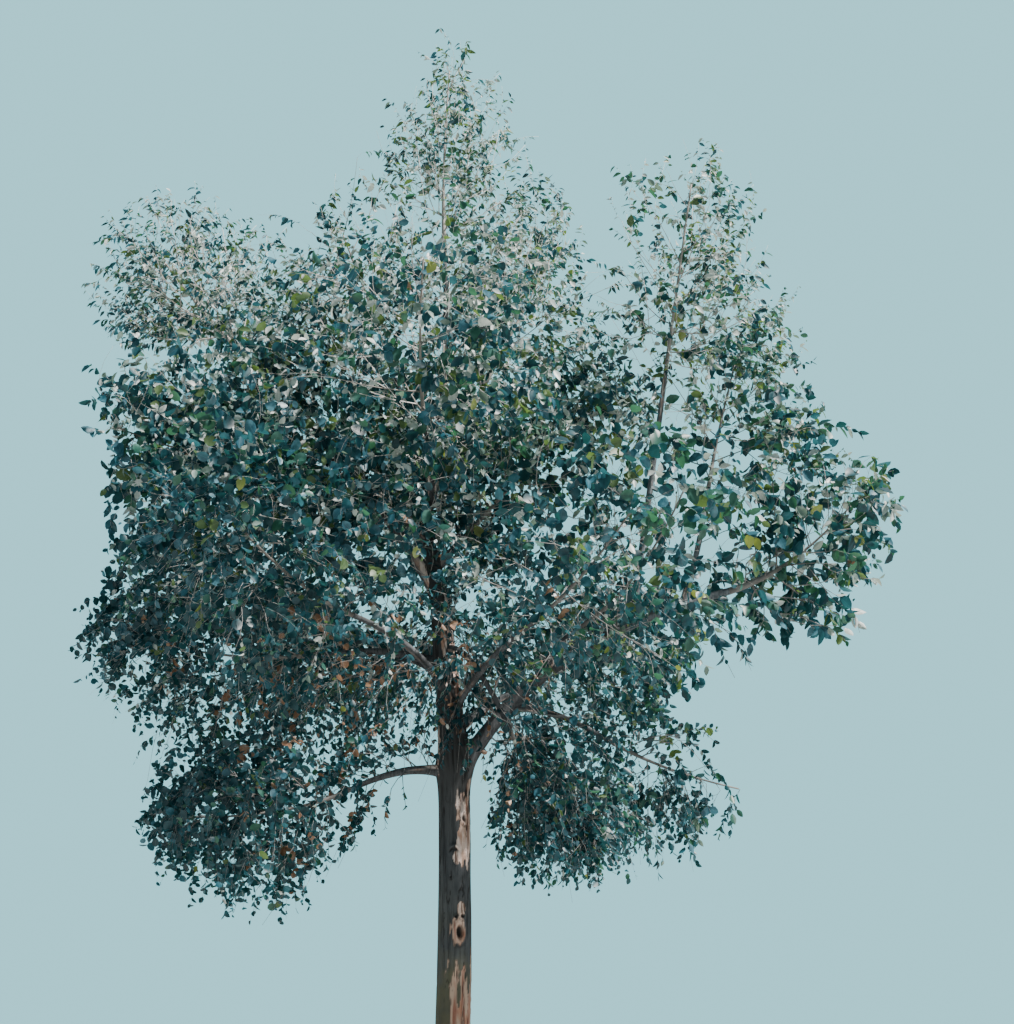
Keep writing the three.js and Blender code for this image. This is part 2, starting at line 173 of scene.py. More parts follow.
# Height and radius
TRUNK_GIRTH = [
    (FOOT, 0.066), (1.34, 0.061), (2.09, 0.056), (2.24, 0.059), (2.42, 0.047), (2.66, 0.041),
    (2.87, 0.033), (3.06, 0.025), (3.42, 0.015),
]
ROOT_FLARE = {"out": 0.034, "height": 0.062, "lobes": 5, "depth": 0.13}

# Each bough: parent, place along it, rise and swing in degrees, radius at root and tip,
# then its mass: middle, half widths, how far twigs bend up, how slim its leaves are, how
# many of the places for sprays are taken, and how much fewer of them high in the mass
BOUGHS = {
    "left_low": ("trunk", 0.56, 14, 4, (0.017, 0.009),
                 (-0.73, -0.19, 2.07), (0.43, 0.48, 0.39), -0.3, 0.1, 1.5, 0.1),
    "right": ("trunk", 0.545, 66, 0, (0.030, 0.014),
              (1.31, 0.06, 3.09), (0.39, 0.50, 0.45), 0.05, 0.45, 0.4, 0.3),
    "left_diagonal": ("trunk", 0.8, 58, 6, (0.022, 0.011),
                      (-1.11, 0.17, 4.17), (0.43, 0.49, 0.46), 0.3, 0.95, 1.05, 0.45),
    "top": ("trunk", 1, 84, 0, (0.013, 0.009),
            (-0.05, 0.00, 4.715), (0.29, 0.31, 0.51), 0.45, 0.95, 0.72, 0.1),
    "upper_left": ("trunk", 0.965, 60, 0, (0.012, 0.009),
                   (-0.41, -0.22, 4.12), (0.38, 0.46, 0.49), 0.3, 0.85, 0.75, 0.7),
    "upper_right": ("trunk", 0.93, 64, 0, (0.013, 0.009),
                    (0.28, 0.24, 4.13), (0.33, 0.48, 0.60), 0.3, 0.8, 0.8, 0.5),
    "left_middle": ("left_diagonal", 0.45, 30, 14, (0.012, 0.009),
                    (-1.00, -0.27, 3.38), (0.46, 0.51, 0.45), 0.05, 0.25, 1.05, 0.3),
    "left_outer": ("trunk", 0.7, 26, -8, (0.016, 0.009),
                   (-0.96, 0.23, 2.71), (0.50, 0.52, 0.45), -0.12, 0.15, 1.5, 0.2),
    "centre_left": ("trunk", 0.86, 40, 24, (0.013, 0.009),
                    (-0.48, -0.06, 3.44), (0.40, 0.46, 0.46), 0.1, 0.15, 0.85, 0.3),
    "centre_right": ("trunk", 0.83, 50, 12, (0.014, 0.009),
                     (0.29, 0.06, 3.39), (0.39, 0.46, 0.46), 0.1, 0.25, 0.62, 0.3),
    "right_upright": ("right", 0.7, 80, 20, (0.013, 0.009),
                      (0.85, -0.19, 4.14), (0.37, 0.46, 0.54), 0.4, 0.75, 0.68, 0.4),
    "right_upper": ("right", 0.86, 70, -14, (0.012, 0.009),
                    (1.05, 0.22, 3.65), (0.43, 0.50, 0.40), 0.2, 0.5, 0.5, 0.3),
    "right_middle": ("right", 0.42, 62, -40, (0.013, 0.009),
                     (0.67, -0.26, 2.98), (0.39, 0.45, 0.43), 0.05, 0.3, 0.36, 0.3),
    "right_low": ("right", 0.28, 2, 16, (0.012, 0.009),
                  (0.86, 0.19, 2.23), (0.35, 0.45, 0.37), -0.35, 0.4, 0.42, 0.3),
    "low_right": ("trunk", 0.72, 8, -30, (0.011, 0.009),
                  (0.37, -0.23, 2.12), (0.31, 0.43, 0.34), -0.4, 0.3, 1.1, 0.3),
    "front_upper": ("trunk", 0.88, 40, 10, (0.014, 0.009),
                    (-0.09, -0.77, 3.60), (0.54, 0.46, 0.51), 0.15, 0.35, 0.55, 0.8),
    "front_left": ("trunk", 0.66, 36, 8, (0.015, 0.009),
                   (-0.56, -0.80, 2.83), (0.50, 0.46, 0.48), -0.1, 0.1, 1.1, 0.3),
    "front_right": ("trunk", 0.63, 34, -8, (0.014, 0.009),
                    (0.47, -0.80, 2.83), (0.46, 0.46, 0.46), -0.1, 0.15, 0.58, 0.5),
    "back_upper": ("trunk", 0.9, 42, -6, (0.015, 0.009),
                   (-0.06, 0.80, 3.66), (0.62, 0.50, 0.60), 0.15, 0.4, 0.55, 0.5),
    "back_left": ("trunk", 0.68, 34, 10, (0.016, 0.009),
                  (-0.56, 0.83, 2.79), (0.53, 0.50, 0.51), -0.1, 0.2, 0.8, 0.3),
    "back_right": ("trunk", 0.61, 34, -8, (0.016, 0.009),
                   (0.53, 0.83, 2.81), (0.53, 0.50, 0.51), -0.1, 0.3, 0.58, 0.3),
}
NAMES = list(BOUGHS)
CENTRE, SIZE, LIFT, SLIM, FULL, THIN = (
    np.array([BOUGHS[name][column] for name in NAMES], float) for column in range(5, 11))
UP = np.array([0.0, 0.0, 1.0])
print("plan:", len(NAMES), "boughs, foot at", round(FOOT, 4))

# %% [markdown]
# ## Lines
#
# The trunk's middle is a smooth curve through a few points. A bough, a branch or a twig
# is simpler: three points, root, knee and tip, and the bend between them. Written with
# whole arrays, one formula bends ten thousand twigs at once.

# %% Curves and bends
LINE_POINTS = 240
STEPS_BETWEEN = 60


def unit(vectors):
    """The vectors divided by their lengths."""
    return vectors / np.linalg.norm(vectors, axis=-1, keepdims=True)


def polar(radius, angle, height=0.0):
    """Points (radius cos angle, radius sin angle, height)."""
    x, y = radius * np.cos(angle), radius * np.sin(angle)
    return np.stack(np.broadcast_arrays(x, y, height), axis=-1)


def only(rows, chosen):
    """The chosen rows of a dict of arrays."""
    return {name: values[chosen] for name, values in rows.items()}


def even_line(line, count):
    """The same line with `count` points that are evenly spaced along it."""
    steps = np.linalg.norm(np.diff(line, axis=0), axis=1)
    travelled = np.concatenate([[0], np.cumsum(steps)])
    wanted = np.linspace(0, travelled[-1], count)
    return np.stack([np.interp(wanted, travelled, line[:, i]) for i in range(3)], axis=1)


def smooth_line(points, count):
    """Centripetal Catmull-Rom curve: between two points a cubic whose slopes come from
    their neighbours, weighed by the square roots of the distances."""
    points = np.asarray(points, float)
    padded = np.vstack([2 * points[0] - points[1], points, 2 * points[-1] - points[-2]])
    gap = np.sqrt(np.linalg.norm(np.diff(padded, axis=0), axis=1))[:, None]
    before, here, there, after = padded[:-3], padded[1:-2], padded[2:-1], padded[3:]
    g0, g1, g2 = gap[:-2], gap[1:-1], gap[2:]
    leave = ((here - before) / g0 - (there - before) / (g0 + g1) + (there - here) / g1) * g1
    arrive = ((there - here) / g1 - (after - here) / (g1 + g2) + (after - there) / g2) * g1
    t = np.linspace(0, 1, STEPS_BETWEEN)[None, :, None]
    here, there, leave, arrive = (a[:, None] for a in (here, there, leave, arrive))
    line = (here + leave * t + (3 * (there - here) - 2 * leave - arrive) * t**2
            + (2 * (here - there) + leave + arrive) * t**3)
    return even_line(line.reshape(-1, 3), count)


def bend_point(bend, t):
    """Points at shares t of three-point bends: (1-t)^2 root + 2t(1-t) knee + t^2 tip."""
    t = np.asarray(t)[..., None]
    root, knee, tip = bend[..., 0, :], bend[..., 1, :], bend[..., 2, :]
    return (1 - t) ** 2 * root + 2 * t * (1 - t) * knee + t**2 * tip


def bend_way(bend, t):
    """Unit direction along the bends there: (1-t)(knee - root) + t(tip - knee)."""
    t = np.asarray(t)[..., None]
    root, knee, tip = bend[..., 0, :], bend[..., 1, :], bend[..., 2, :]
    return unit((1 - t) * (knee - root) + t * (tip - knee))


def depth_in(mass, point):
    """Distance from a mass's middle, where 1 is the edge of its space."""
    return np.linalg.norm((point - CENTRE[mass]) / SIZE[mass], axis=-1)


trunk_line = smooth_line(TRUNK_AXIS, LINE_POINTS)
heights, girths = np.array(TRUNK_GIRTH).T
flare_left = np.exp(-(trunk_line[:, 2] - FOOT) / ROOT_FLARE["height"])
trunk_radius = np.interp(trunk_line[:, 2], heights, girths) + ROOT_FLARE["out"] * flare_left

# %% [markdown]
# A bough leaves its parent at its own rise, swings a little off the straight way to its
# mass, and ends where it has just entered that mass. From there the mass's stem takes
# over and runs past the middle.

# %% Boughs and stems as lines
ENTER = 0.1
KNEE = 0.45
STEM_REACH = 0.6
STEM_KNEE = 0.4
STEM_TIP_RADIUS = 0.0032

lines = {"trunk": trunk_line}
bough_bends = []
stem_bends = []
for order, name in enumerate(NAMES):
    parent, at, rise, swing = BOUGHS[name][:4]
    root = lines[parent][round(at * (LINE_POINTS - 1))]
    tip = CENTRE[order] + (root - CENTRE[order]) * (1 - ENTER) / depth_in(order, root)
    way = tip - root
    heading = np.arctan2(way[1], way[0]) + np.radians(swing)
    level = np.cos(np.radians(rise))
    leave = polar(level, heading, np.sin(np.radians(rise)))
    bend = np.array([root, root + leave * np.linalg.norm(way) * KNEE, tip])
    lines[name] = even_line(bend_point(bend, np.linspace(0, 1, LINE_POINTS)), LINE_POINTS)
    bough_bends.append(bend)

    far = CENTRE[order] + (CENTRE[order] - tip) * STEM_REACH / depth_in(order, tip)
    onward = bend_way(bend, 1.0)
    stem_knee = tip + onward * np.linalg.norm(far - tip) * STEM_KNEE
    stem_bends.append(np.array([tip, stem_knee, far]))

bough_bends = np.array(bough_bends)
stem_bends = np.array(stem_bends)
bough_radius = np.array([BOUGHS[name][4] for name in NAMES])
bough_lengths = np.linalg.norm(bough_bends[:, 2] - bough_bends[:, 0], axis=1)
print("boughs: lengths", np.round(bough_lengths, 2))

# %% [markdown]
# ## From arrays to meshes
#
# A tube is a ring carried along a line. To carry it, each point of the line needs two
# directions square to the way along, and a ring is cos times one plus sin times the
# other. All tubes of one kind share one set of array operations and one mesh.

# %% Mesh helpers


def make_piece(name, points, faces, material, uv=None, values=None, smooth=True):
    """Puts arrays into a mesh that rides on the body: points (n, 3), faces a list of
    arrays (k, corners), uv (n, 2) and values, a dict of (n,) arrays kept on the points."""
    corners = np.concatenate([face.ravel() for face in faces]).astype(np.int32)
    sides = np.concatenate([np.full(len(face), face.shape[1]) for face in faces])
    starts = np.concatenate([[0], np.cumsum(sides)[:-1]]).astype(np.int32)
    mesh = bpy.data.meshes.new(name)
    mesh.vertices.add(len(points))
    mesh.vertices.foreach_set("co", points.astype(np.float32).ravel())
    mesh.loops.add(len(corners))
    mesh.loops.foreach_set("vertex_index", corners)
    mesh.polygons.add(len(sides))
    mesh.polygons.foreach_set("loop_start", starts)
    mesh.polygons.foreach_set("use_smooth", np.full(len(sides), smooth))
    if uv is not None:
        layer = mesh.uv_layers.new(name="UVMap")
        layer.data.foreach_set("uv", uv[corners].astype(np.float32).ravel())
    for key, value in (values or {}).items():
        attribute = mesh.attributes.new(key, "FLOAT", "POINT")
        attribute.data.foreach_set("value", value.astype(np.float32))
    mesh.update(calc_edges=True)
    mesh.validate()
    mesh.materials.append(material)
    piece = new_object(name, mesh)
    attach(piece, "root")
    triangles = int(np.sum(sides - 2))
    print(name + ":", len(points), "points,", triangles, "triangles")
    return piece


def is_upright(way):
    """True for unit ways that are within about 26 degrees of upright."""
    return np.abs(way[..., 2:3]) > 0.9


def square_pair(way, upright):
    """Two unit directions square to a way and to each other. The first is level, or square
    to X where the way is upright."""
    across = unit(np.cross(np.where(upright, np.array([1.0, 0, 0]), UP), way))
    return across, np.cross(way, across)


def ring_ways(line, sides):
    """Unit directions round lines (n, m, 3) as (n, m, sides, 3): cos a across + sin a over,
    both square to the way along."""
    overall = unit(line[:, -1] - line[:, 0])
    across, over = square_pair(unit(np.gradient(line, axis=1)), is_upright(overall)[:, None])
    angle = (2 * np.pi * np.arange(sides) / sides)[:, None]
    return np.cos(angle) * across[:, :, None] + np.sin(angle) * over[:, :, None]


def ring_faces(count, rings, sides):
    """Quads between neighbouring rings of each tube, and a closing face at both ends."""
    index = np.arange(count * rings * sides).reshape(count, rings, sides)
    turned = np.roll(index, -1, axis=2)
    quads = np.stack([index[:, :-1], turned[:, :-1], turned[:, 1:], index[:, 1:]], axis=-1)
    caps = np.concatenate([index[:, 0, ::-1], index[:, -1]])
    return [quads.reshape(-1, 4), caps]


def tubes(line, radius, sides):
    """Tubes round lines (n, m, 3). radius is (n, m), or (n, m, sides) where it changes
    round the ring."""
    radius = radius[..., None] if radius.ndim == 3 else radius[..., None, None]
    points = line[:, :, None] + radius * ring_ways(line, sides)
    return points.reshape(-1, 3), ring_faces(*line.shape[:2], sides)


# %% [markdown]
# ## Shared finishes
#
# Bark, clay and soil are all made of one idea: patches of one colour on another, with
# soft or torn edges. That idea is a node group, built once, and each material gives it
# its own size, stretch, sharpness and colours.

# %% Node helpers
SMOOTH = {"interpolation_type": "SMOOTHSTEP"}
EVEN = (1, 1, 1)
UPRIGHT = (1, 1, 0.25)
FIBRE = (1, 1, 0.07)


def new_group(name, inputs, outputs):
    """An empty shader node group with named sockets, from dicts of name and type."""
    group = bpy.data.node_groups.new(name, "ShaderNodeTree")
    for side, sockets in (("INPUT", inputs), ("OUTPUT", outputs)):
        for label, kind in sockets.items():
            group.interface.new_socket(label, in_out=side, socket_type="NodeSocket" + kind)
    given, made = (group.nodes.new("NodeGroup" + kind) for kind in ("Input", "Output"))
    return group, given.outputs, made.inputs


def feed(tree, plug, value):
    """Links a socket to an input, or sets the input. A colour gets full alpha."""
    if isinstance(value, bpy.types.NodeSocket):
        tree.links.new(value, plug)
    else:
        plug.default_value = (*value, 1.0) if plug.type == "RGBA" else value


def add(tree, kind, settings=None, **sockets):
    """A node with its settings and inputs. An underscore in an input's name stands for a
    space, and n0 is the first input."""
    node = tree.nodes.new("ShaderNode" + kind)
    for key, value in (settings or {}).items():
        setattr(node, key, value)
    for key, value in sockets.items():
        numbered = key[0] == "n" and key[1:].isdigit()
        feed(tree, node.inputs[int(key[1:]) if numbered else key.replace("_", " ")], value)
    return node


def mix_colours(tree, share, first, second):
    """Output of a Mix node: first where the share is 0, second where it is 1."""
    node = add(tree, "Mix", {"data_type": "RGBA"}, n0=share, n6=first, n7=second)
    return node.outputs[2]


def make_patches_group():
    """Patches: noise on stretched Object coordinates, cut at an edge, mixes two colours."""
    group, given, made = new_group("patches", {
        "Place": "Vector", "Stretch": "Vector", "Size": "Float", "Edge": "Float",
        "Softness": "Float", "First": "Color", "Second": "Color"}, {"Color": "Color"})
    place = add(group, "VectorMath", {"operation": "MULTIPLY"}, n0=given["Place"],
                n1=given["Stretch"])
    noise = add(group, "TexNoise", Vector=place.outputs[0], Scale=given["Size"], Detail=5.0,
                Roughness=0.62)
    low, high = (
        add(group, "Math", {"operation": kind}, n0=given["Edge"], n1=given["Softness"]).outputs[0]
        for kind in ("SUBTRACT", "ADD"))
    mask = add(group, "MapRange", SMOOTH, Value=noise.outputs["Fac"], From_Min=low, From_Max=high)
    colour = mix_colours(group, mask.outputs["Result"], given["First"], given["Second"])
    group.links.new(colour, made["Color"])
    return group


def make_ramp_group():
    """Ramp: a mask that goes from 0 to Most while Place . Way goes from Start to End."""
    group, given, made = new_group("ramp", {
        "Place": "Vector", "Way": "Vector", "Start": "Float", "End": "Float", "Most": "Float"},
        {"Mask": "Float"})
    along = add(group, "VectorMath", {"operation": "DOT_PRODUCT"}, n0=given["Place"],
                n1=given["Way"])
    mask = add(group, "MapRange", SMOOTH, Value=along.outputs["Value"],
               From_Min=given["Start"], From_Max=given["End"], To_Max=given["Most"])
    group.links.new(mask.outputs["Result"], made["Mask"])
    return group


PATCHES = make_patches_group()
RAMP = make_ramp_group()


def coated(tree, place, colour, *coats):
    """A colour under coats of patches: each coat is (colour, size, edge, softness, stretch)."""
    for coat, size, edge, softness, stretch in coats:
        colour = add(tree, "Group", {"node_tree": PATCHES}, Place=place, Stretch=stretch,
                     Size=size, Edge=edge, Softness=softness, First=colour, Second=coat).outputs[0]
    return colour


def ramp(tree, place, way, start, end, most=1.0):
    """The mask of the ramp group in a material."""
    return add(tree, "Group", {"node_tree": RAMP}, Place=place, Way=way, Start=start, End=end,
               Most=most).outputs["Mask"]


def new_material(name, roughness):
    """A material with its Principled shader. Returns material, tree, shader, Object place."""
    material = bpy.data.materials.new(name)
    material.use_nodes = True
    tree = material.node_tree
    shader = tree.nodes["Principled BSDF"]
    shader.inputs["Roughness"].default_value = roughness
    place = tree.nodes.new("ShaderNodeTexCoord").outputs["Object"]
    return material, tree, shader, place


def bump(tree, shader, height, distance, strength):
    """Feeds a height through a Bump node to the shader's normal."""
    node = add(tree, "Bump", Height=height, Distance=distance, Strength=strength)
    tree.links.new(node.outputs["Normal"], shader.inputs["Normal"])


def make_finish(name, roughness, colour, *coats, shade=None, grit=None):
    """A material: a colour under coats of patches. shade is (colour, way, start, end, most)
    of a ramp over them, and grit is (scale, detail, distance, strength) of fine relief."""
    material, tree, shader, place = new_material(name, roughness)
    colour = coated(tree, place, colour, *coats)
    if shade:
        colour = mix_colours(tree, ramp(tree, place, *shade[1:]), colour, shade[0])
    feed(tree, shader.inputs["Base Color"], colour)
    if grit:
        noise = add(tree, "TexNoise", Vector=place, Scale=grit[0], Detail=grit[1])
        bump(tree, shader, noise.outputs["Fac"], *grit[2:])
    return material


print("node groups:", [group.name for group in bpy.data.node_groups])

# %% [markdown]
# ## Bark
#
# A cider gum sheds its bark. Old bark is smooth and blue-grey, with olive in it. It tears
# off in long upright strips and leaves tan, rust and cream underneath, most of all on the
# right side here. Where the crown shades the wood, the bark gets painted shade. The relief
# and the colours have to agree, so both come from the same numbers: the mesh keeps, at each
# point, how far the bark has peeled there, how rusty it is and how dark it is, which is
# painted shade in holes, creases and cracks and the dark of scars, and the material reads
# these three values.

# %% Bark material


def attribute(tree, name):
    """The value that the mesh keeps under this name."""
    return add(tree, "Attribute", {"attribute_name": name}).outputs["Fac"]


def make_bark(name, size, dark, light, shade):
    """A skin of two near colours with fine upright fibres and olive lower down, with painted
    shade from a ramp, `shade`, where the crown shades the wood. Where the bark has peeled it
    is tan, rust and cream, with red-brown seams. A value kept on the mesh paints it near
    black: painted shade in holes, creases and cracks, and the dark of scars."""
    material, tree, shader, place = new_material(name, 0.82)
    fleck = tuple(0.55 * c for c in dark)
    skin = coated(tree, place, dark, (light, size, 0.5, 0.16, UPRIGHT),
                  (fleck, size * 9, 0.56, 0.12, FIBRE))
    # Painted shade: the skin darkens along the ramp where the crown above shades the wood.
    skin = mix_colours(tree, ramp(tree, place, *shade), skin, (0.030, 0.027, 0.026))
    olive = coated(tree, place, skin, ((0.105, 0.100, 0.058), size * 0.45, 0.48, 0.14, EVEN))
    skin = mix_colours(tree, ramp(tree, place, UP, 1.9, 1.35), skin, olive)
    cream = mix_colours(tree, ramp(tree, place, UP, 1.55, 1.95), (0.48, 0.34, 0.26),
                        (0.90, 0.73, 0.66))
    fresh = coated(tree, place, (0.54, 0.36, 0.28),
                   ((0.38, 0.18, 0.11), size * 1.6, 0.55, 0.10, UPRIGHT),
                   (cream, size * 3, 0.5, 0.08, UPRIGHT),
                   ((0.16, 0.09, 0.065), size * 6, 0.58, 0.05, FIBRE))
    colour = mix_colours(tree, attribute(tree, "peel"), skin, fresh)
    colour = mix_colours(tree, attribute(tree, "rust"), colour, (0.20, 0.055, 0.030))
    # Painted shade: near black in knot holes, creases, cracks and splits on the trunk; on the
    # boughs the dark of scars at random.
    colour = mix_colours(tree, attribute(tree, "scar_and_shade"), colour, (0.012, 0.010, 0.009))
    feed(tree, shader.inputs["Base Color"], colour)
    strings = coated(tree, place, (0, 0, 0), ((1, 1, 1), 95.0, 0.5, 0.3, FIBRE))
    grain = add(tree, "TexNoise", Vector=place, Scale=230.0, Detail=4.0)
    relief = add(tree, "Math", {"operation": "ADD"}, n0=strings, n1=grain.outputs["Fac"])
    bump(tree, shader, relief.outputs[0], 0.0022, 0.7)
    return material


# Painted shade: the trunk darkens from 1.85 m up, inside the crown, and the boughs darken towards
# the left, from x 0.9 m to 0.2 m.
trunk_bark = make_bark("trunk_bark", 9.0, (0.034, 0.041, 0.048), (0.092, 0.100, 0.106),
                       (UP, 1.85, 2.25, 0.6))
bough_bark = make_bark("bough_bark", 16.0, (0.105, 0.120, 0.136), (0.215, 0.235, 0.258),
                       ((1, 0, 0), 0.9, 0.2, 0.55))
print("materials:", [material.name for material in bpy.data.materials])

# %% [markdown]
# The trunk is one grid of points: 104 round and 620 up. Its radius is the plan's radius,
# times the root flare's five lobes, plus what bark does: peeled strips lie lower, cracks
# run up between them, each bough sits in a swollen collar, and knots left by lost boughs
# have a raised lip round a hole.

# %% Trunk surface
TRUNK_GRID = (104, 620)
PEEL_DEPTH = 0.0022
CRACK_DEPTH = 0.0026
SPLIT_DEPTH = 0.004
SEAM_DEPTH = 0.001
RAGGED_EDGE = 0.0012
RIPPLE = 0.003
FIBRE_RELIEF = 0.0016
SPLIT_WANDER = 0.0035
BROW_FOLD = 0.0070
# Height, degrees to the right of the front, half width, half height, lip, depth of hole
KNOTS = [
    (1.7, 29, 0.0062, 0.007, 0.005, 0.008), (1.699, 7, 0.0055, 0.0045, 0.004, 0.006),
    (1.647, 18, 0.0115, 0.0215, 0.008, 0.012), (2.036, 40, 0.008, 0.012, 0.003, 0.006),
    (2.004, 53, 0.0028, 0.013, 0.001, 0.003), (1.833, -13, 0.004, 0.004, 0.003, 0.004),
    (1.29, 74, 0.012, 0.014, 0.007, 0.01), (1.48, 152, 0.014, 0.017, 0.008, 0.012),
    (1.95, 200, 0.016, 0.01, 0.007, 0.008), (1.12, 258, 0.01, 0.012, 0.006, 0.01),
    (2.52, 28, 0.009, 0.011, 0.005, 0.008), (2.46, 238, 0.01, 0.012, 0.006, 0.008),
]
# Scars like an eyebrow: height, degrees, half width, how far their ends hang
BROWS = [
    (1.932, 0, 0.019, 0.011), (1.56, 172, 0.024, 0.012), (2.33, 118, 0.018, 0.009),
    (1.18, 224, 0.022, 0.014),
]
# Upright splits: height, degrees, half height, half width
SPLITS = [
    (1.44, 38, 0.12, 0.0022), (1.795, 34, 0.036, 0.0026), (1.35, 60, 0.09, 0.0018),
    (2.06, 22, 0.05, 0.002), (1.64, -40, 0.08, 0.0018), (1.25, 160, 0.11, 0.0024),
    (1.9, 235, 0.09, 0.0022),
]
# Where the bark has mostly gone: height, degrees from the front, half height, half width
BARE_PLACES = [
    (1.36, 46, 0.175, 46), (1.33, 6, 0.12, 13), (1.2, 24, 0.12, 15), (1.945, 20, 0.04, 22),
    (1.998, 46, 0.115, 56), (2.15, 66, 0.075, 13), (1.724, 25, 0.022, 18), (1.654, 14, 0.044, 23),
    (1.9, 5, 0.032, 14), (2.085, 42, 0.045, 20), (2.62, 60, 0.21, 42), (1.0, 130, 0.18, 33),
    (1.65, 190, 0.19, 38), (2.25, 235, 0.21, 42), (1.15, 290, 0.15, 22),
]
# Islands of bark that are left in them, measured the same way
ISLANDS = [
    (1.428, 19, 0.042, 8), (1.5, 58, 0.05, 7), (2.012, 20, 0.022, 6), (1.05, 135, 0.05, 9),
    (1.68, 196, 0.06, 10),
]


around, up = TRUNK_GRID
line = even_line(trunk_line, up)[None]
height = line[0, :, 2][:, None]
side = ring_ways(line, around)[0]
facing = np.degrees(np.arctan2(side[..., 0], -side[..., 1]))
radius = np.interp(height[:, 0], trunk_line[:, 2], trunk_radius)[:, None]
fade = np.exp(-(height - FOOT) / ROOT_FLARE["height"])
lobes = 1 + ROOT_FLARE["depth"] * fade * np.cos(ROOT_FLARE["lobes"] * np.radians(facing))


def from_place(place_height, place_angle):
    """Metres across and up from a place on the trunk to each point of its grid."""
    turn = (facing - place_angle + 180) % 360 - 180
    return np.radians(turn) * radius, height - place_height


def hump(distance):
    """1 in the middle and 0 far away: exp(-distance^2)."""
    return np.exp(-(distance**2))


def columns(table):
    """The table's columns, each ready to be set against the whole grid."""
    return np.array(table).T[..., None, None]


def share_inside(places):
    """How far each point lies inside any of the places: the largest hump."""
    place_height, place_angle, half_height, half_width = columns(places)
    across, along = from_place(place_height, place_angle)
    turn = across / (np.radians(half_width) * radius)
    return hump(np.hypot(turn, along / half_height)).max(axis=0)


def knot_shapes():
    """Raised lips and sunk holes of the knots, in metres, and how much painted shade each point
    gets in the hole, by the distance from the middle in half widths. A crease runs round
    below each, sunk and with painted shade too."""
    place_height, place_angle, half_width, half_height, lip, hole = columns(KNOTS)
    across, along = from_place(place_height, place_angle)
    distance = np.hypot(across / half_width, along / half_height)
    downward = (1 - along / half_height / (distance + 0.01)) / 2
    crease = hump((distance - 2.3) / 0.3) * downward
    relief = lip * hump((distance - 1.5) / 0.75)
    relief -= hole * (np.exp(-((distance / 0.95) ** 4)) + 0.2 * crease)
    # Painted shade in the hole and in the crease below it.
    dark = np.maximum(np.exp(-((distance / 1.08) ** 6)), 0.7 * crease)
    return relief.sum(axis=0), dark.max(axis=0)


def brow_shapes():
    """Folds and cracks of the eyebrow scars, and the painted shade in each crack. The crack's
    line hangs at its ends as the square of the distance across."""
    place_height, place_angle, half_width, hang = columns(BROWS)
    across, along = from_place(place_height, place_angle)
    along = along + hang * (across / half_width) ** 2
    fade = 1 - smooth_step(0.75, 1.05, np.abs(across / half_width))
    relief = BROW_FOLD * fade * (hump((along - 0.010) / 0.007) - hump(along / 0.0040))
    # The second value is painted shade in the crack.
    return relief.sum(axis=0), (fade * hump(along / 0.0042)).max(axis=0)


def split_shapes():
    """How deep the upright splits are, from 0 to 1, which is also how much painted shade they
    get. Each wanders sideways as a sine wave and narrows to its ends as 1 - along^2."""
    place_height, place_angle, half_height, half_width = columns(SPLITS)
    across, along = from_place(place_height, place_angle)
    along = along / half_height
    across = across + SPLIT_WANDER * np.sin(9 * along + place_angle)
    width = half_width * np.clip(1 - along**2, 0.05, 1)
    return (hump(across / width) * (np.abs(along) < 1)).max(axis=0)


def collars():
    """Swelling round the root of each bough on the trunk: about half its radius, as a hump
    whose distance is measured in the bough's own radii."""
    on_trunk = [order for order, name in enumerate(NAMES) if BOUGHS[name][0] == "trunk"]
    root, knee, _ = np.moveaxis(bough_bends[on_trunk], 1, 0)
    x, y, z = columns(knee - root)
    thick = bough_radius[on_trunk, 0][:, None, None]
    across, along = from_place(columns(root)[2], np.degrees(np.arctan2(x, -y)))
    rise = np.minimum(radius * z / np.maximum(np.hypot(x, y), 0.05), 0.09)
    distance = np.hypot(across / 1.7, (along - rise) / 2.4) / thick
    return (0.55 * thick * hump(distance)).sum(axis=0)


share_round = (facing / 360) % 1
bare = share_inside(BARE_PLACES) - 0.8 * share_inside(ISLANDS)
strips = cloud(share_round * 13, height * 2.6, 13, 31)
strips = strips + 0.35 * cloud(share_round * 52, height * 9, 52, 32)
ragged = 0.40 * cloud(share_round * 34, height * 22, 34, 33)
ragged = ragged + 0.26 * cloud(share_round * 88, height * 60, 88, 39)
torn = strips + 1.5 * bare - ragged
peel = smooth_step(0.93, 1.0, torn)
seams = np.abs(cloud(share_round * 17, height * 3.1, 17, 34) - 0.5)
crack = (1 - smooth_step(0.0, 0.035, seams)) * cloud(share_round * 6, height * 8, 6, 35)
knot_relief, knot_shade = knot_shapes()
brow_relief, brow_shade = brow_shapes()
split_depth_and_shade = split_shapes()
ripple = RIPPLE * (cloud(share_round * 5, height * 6, 5, 36) - 0.5)
fibres = FIBRE_RELIEF * (cloud(share_round * 72, height * 7, 72, 37) - 0.5)
threads = np.abs(cloud(share_round * 44, height * 2.6, 44, 38) - 0.5)
rust = (1 - smooth_step(0.02, 0.07, threads)) * smooth_step(0.25, 0.6, bare) * peel
rag = peel * (1 - peel) * 4
surface = (radius * lobes + ripple + fibres + knot_relief + brow_relief
           - SPLIT_DEPTH * split_depth_and_shade + collars() - PEEL_DEPTH * peel
           - CRACK_DEPTH * crack - SEAM_DEPTH * rust + RAGGED_EDGE * rag)
points, faces = tubes(line, surface[None], around)
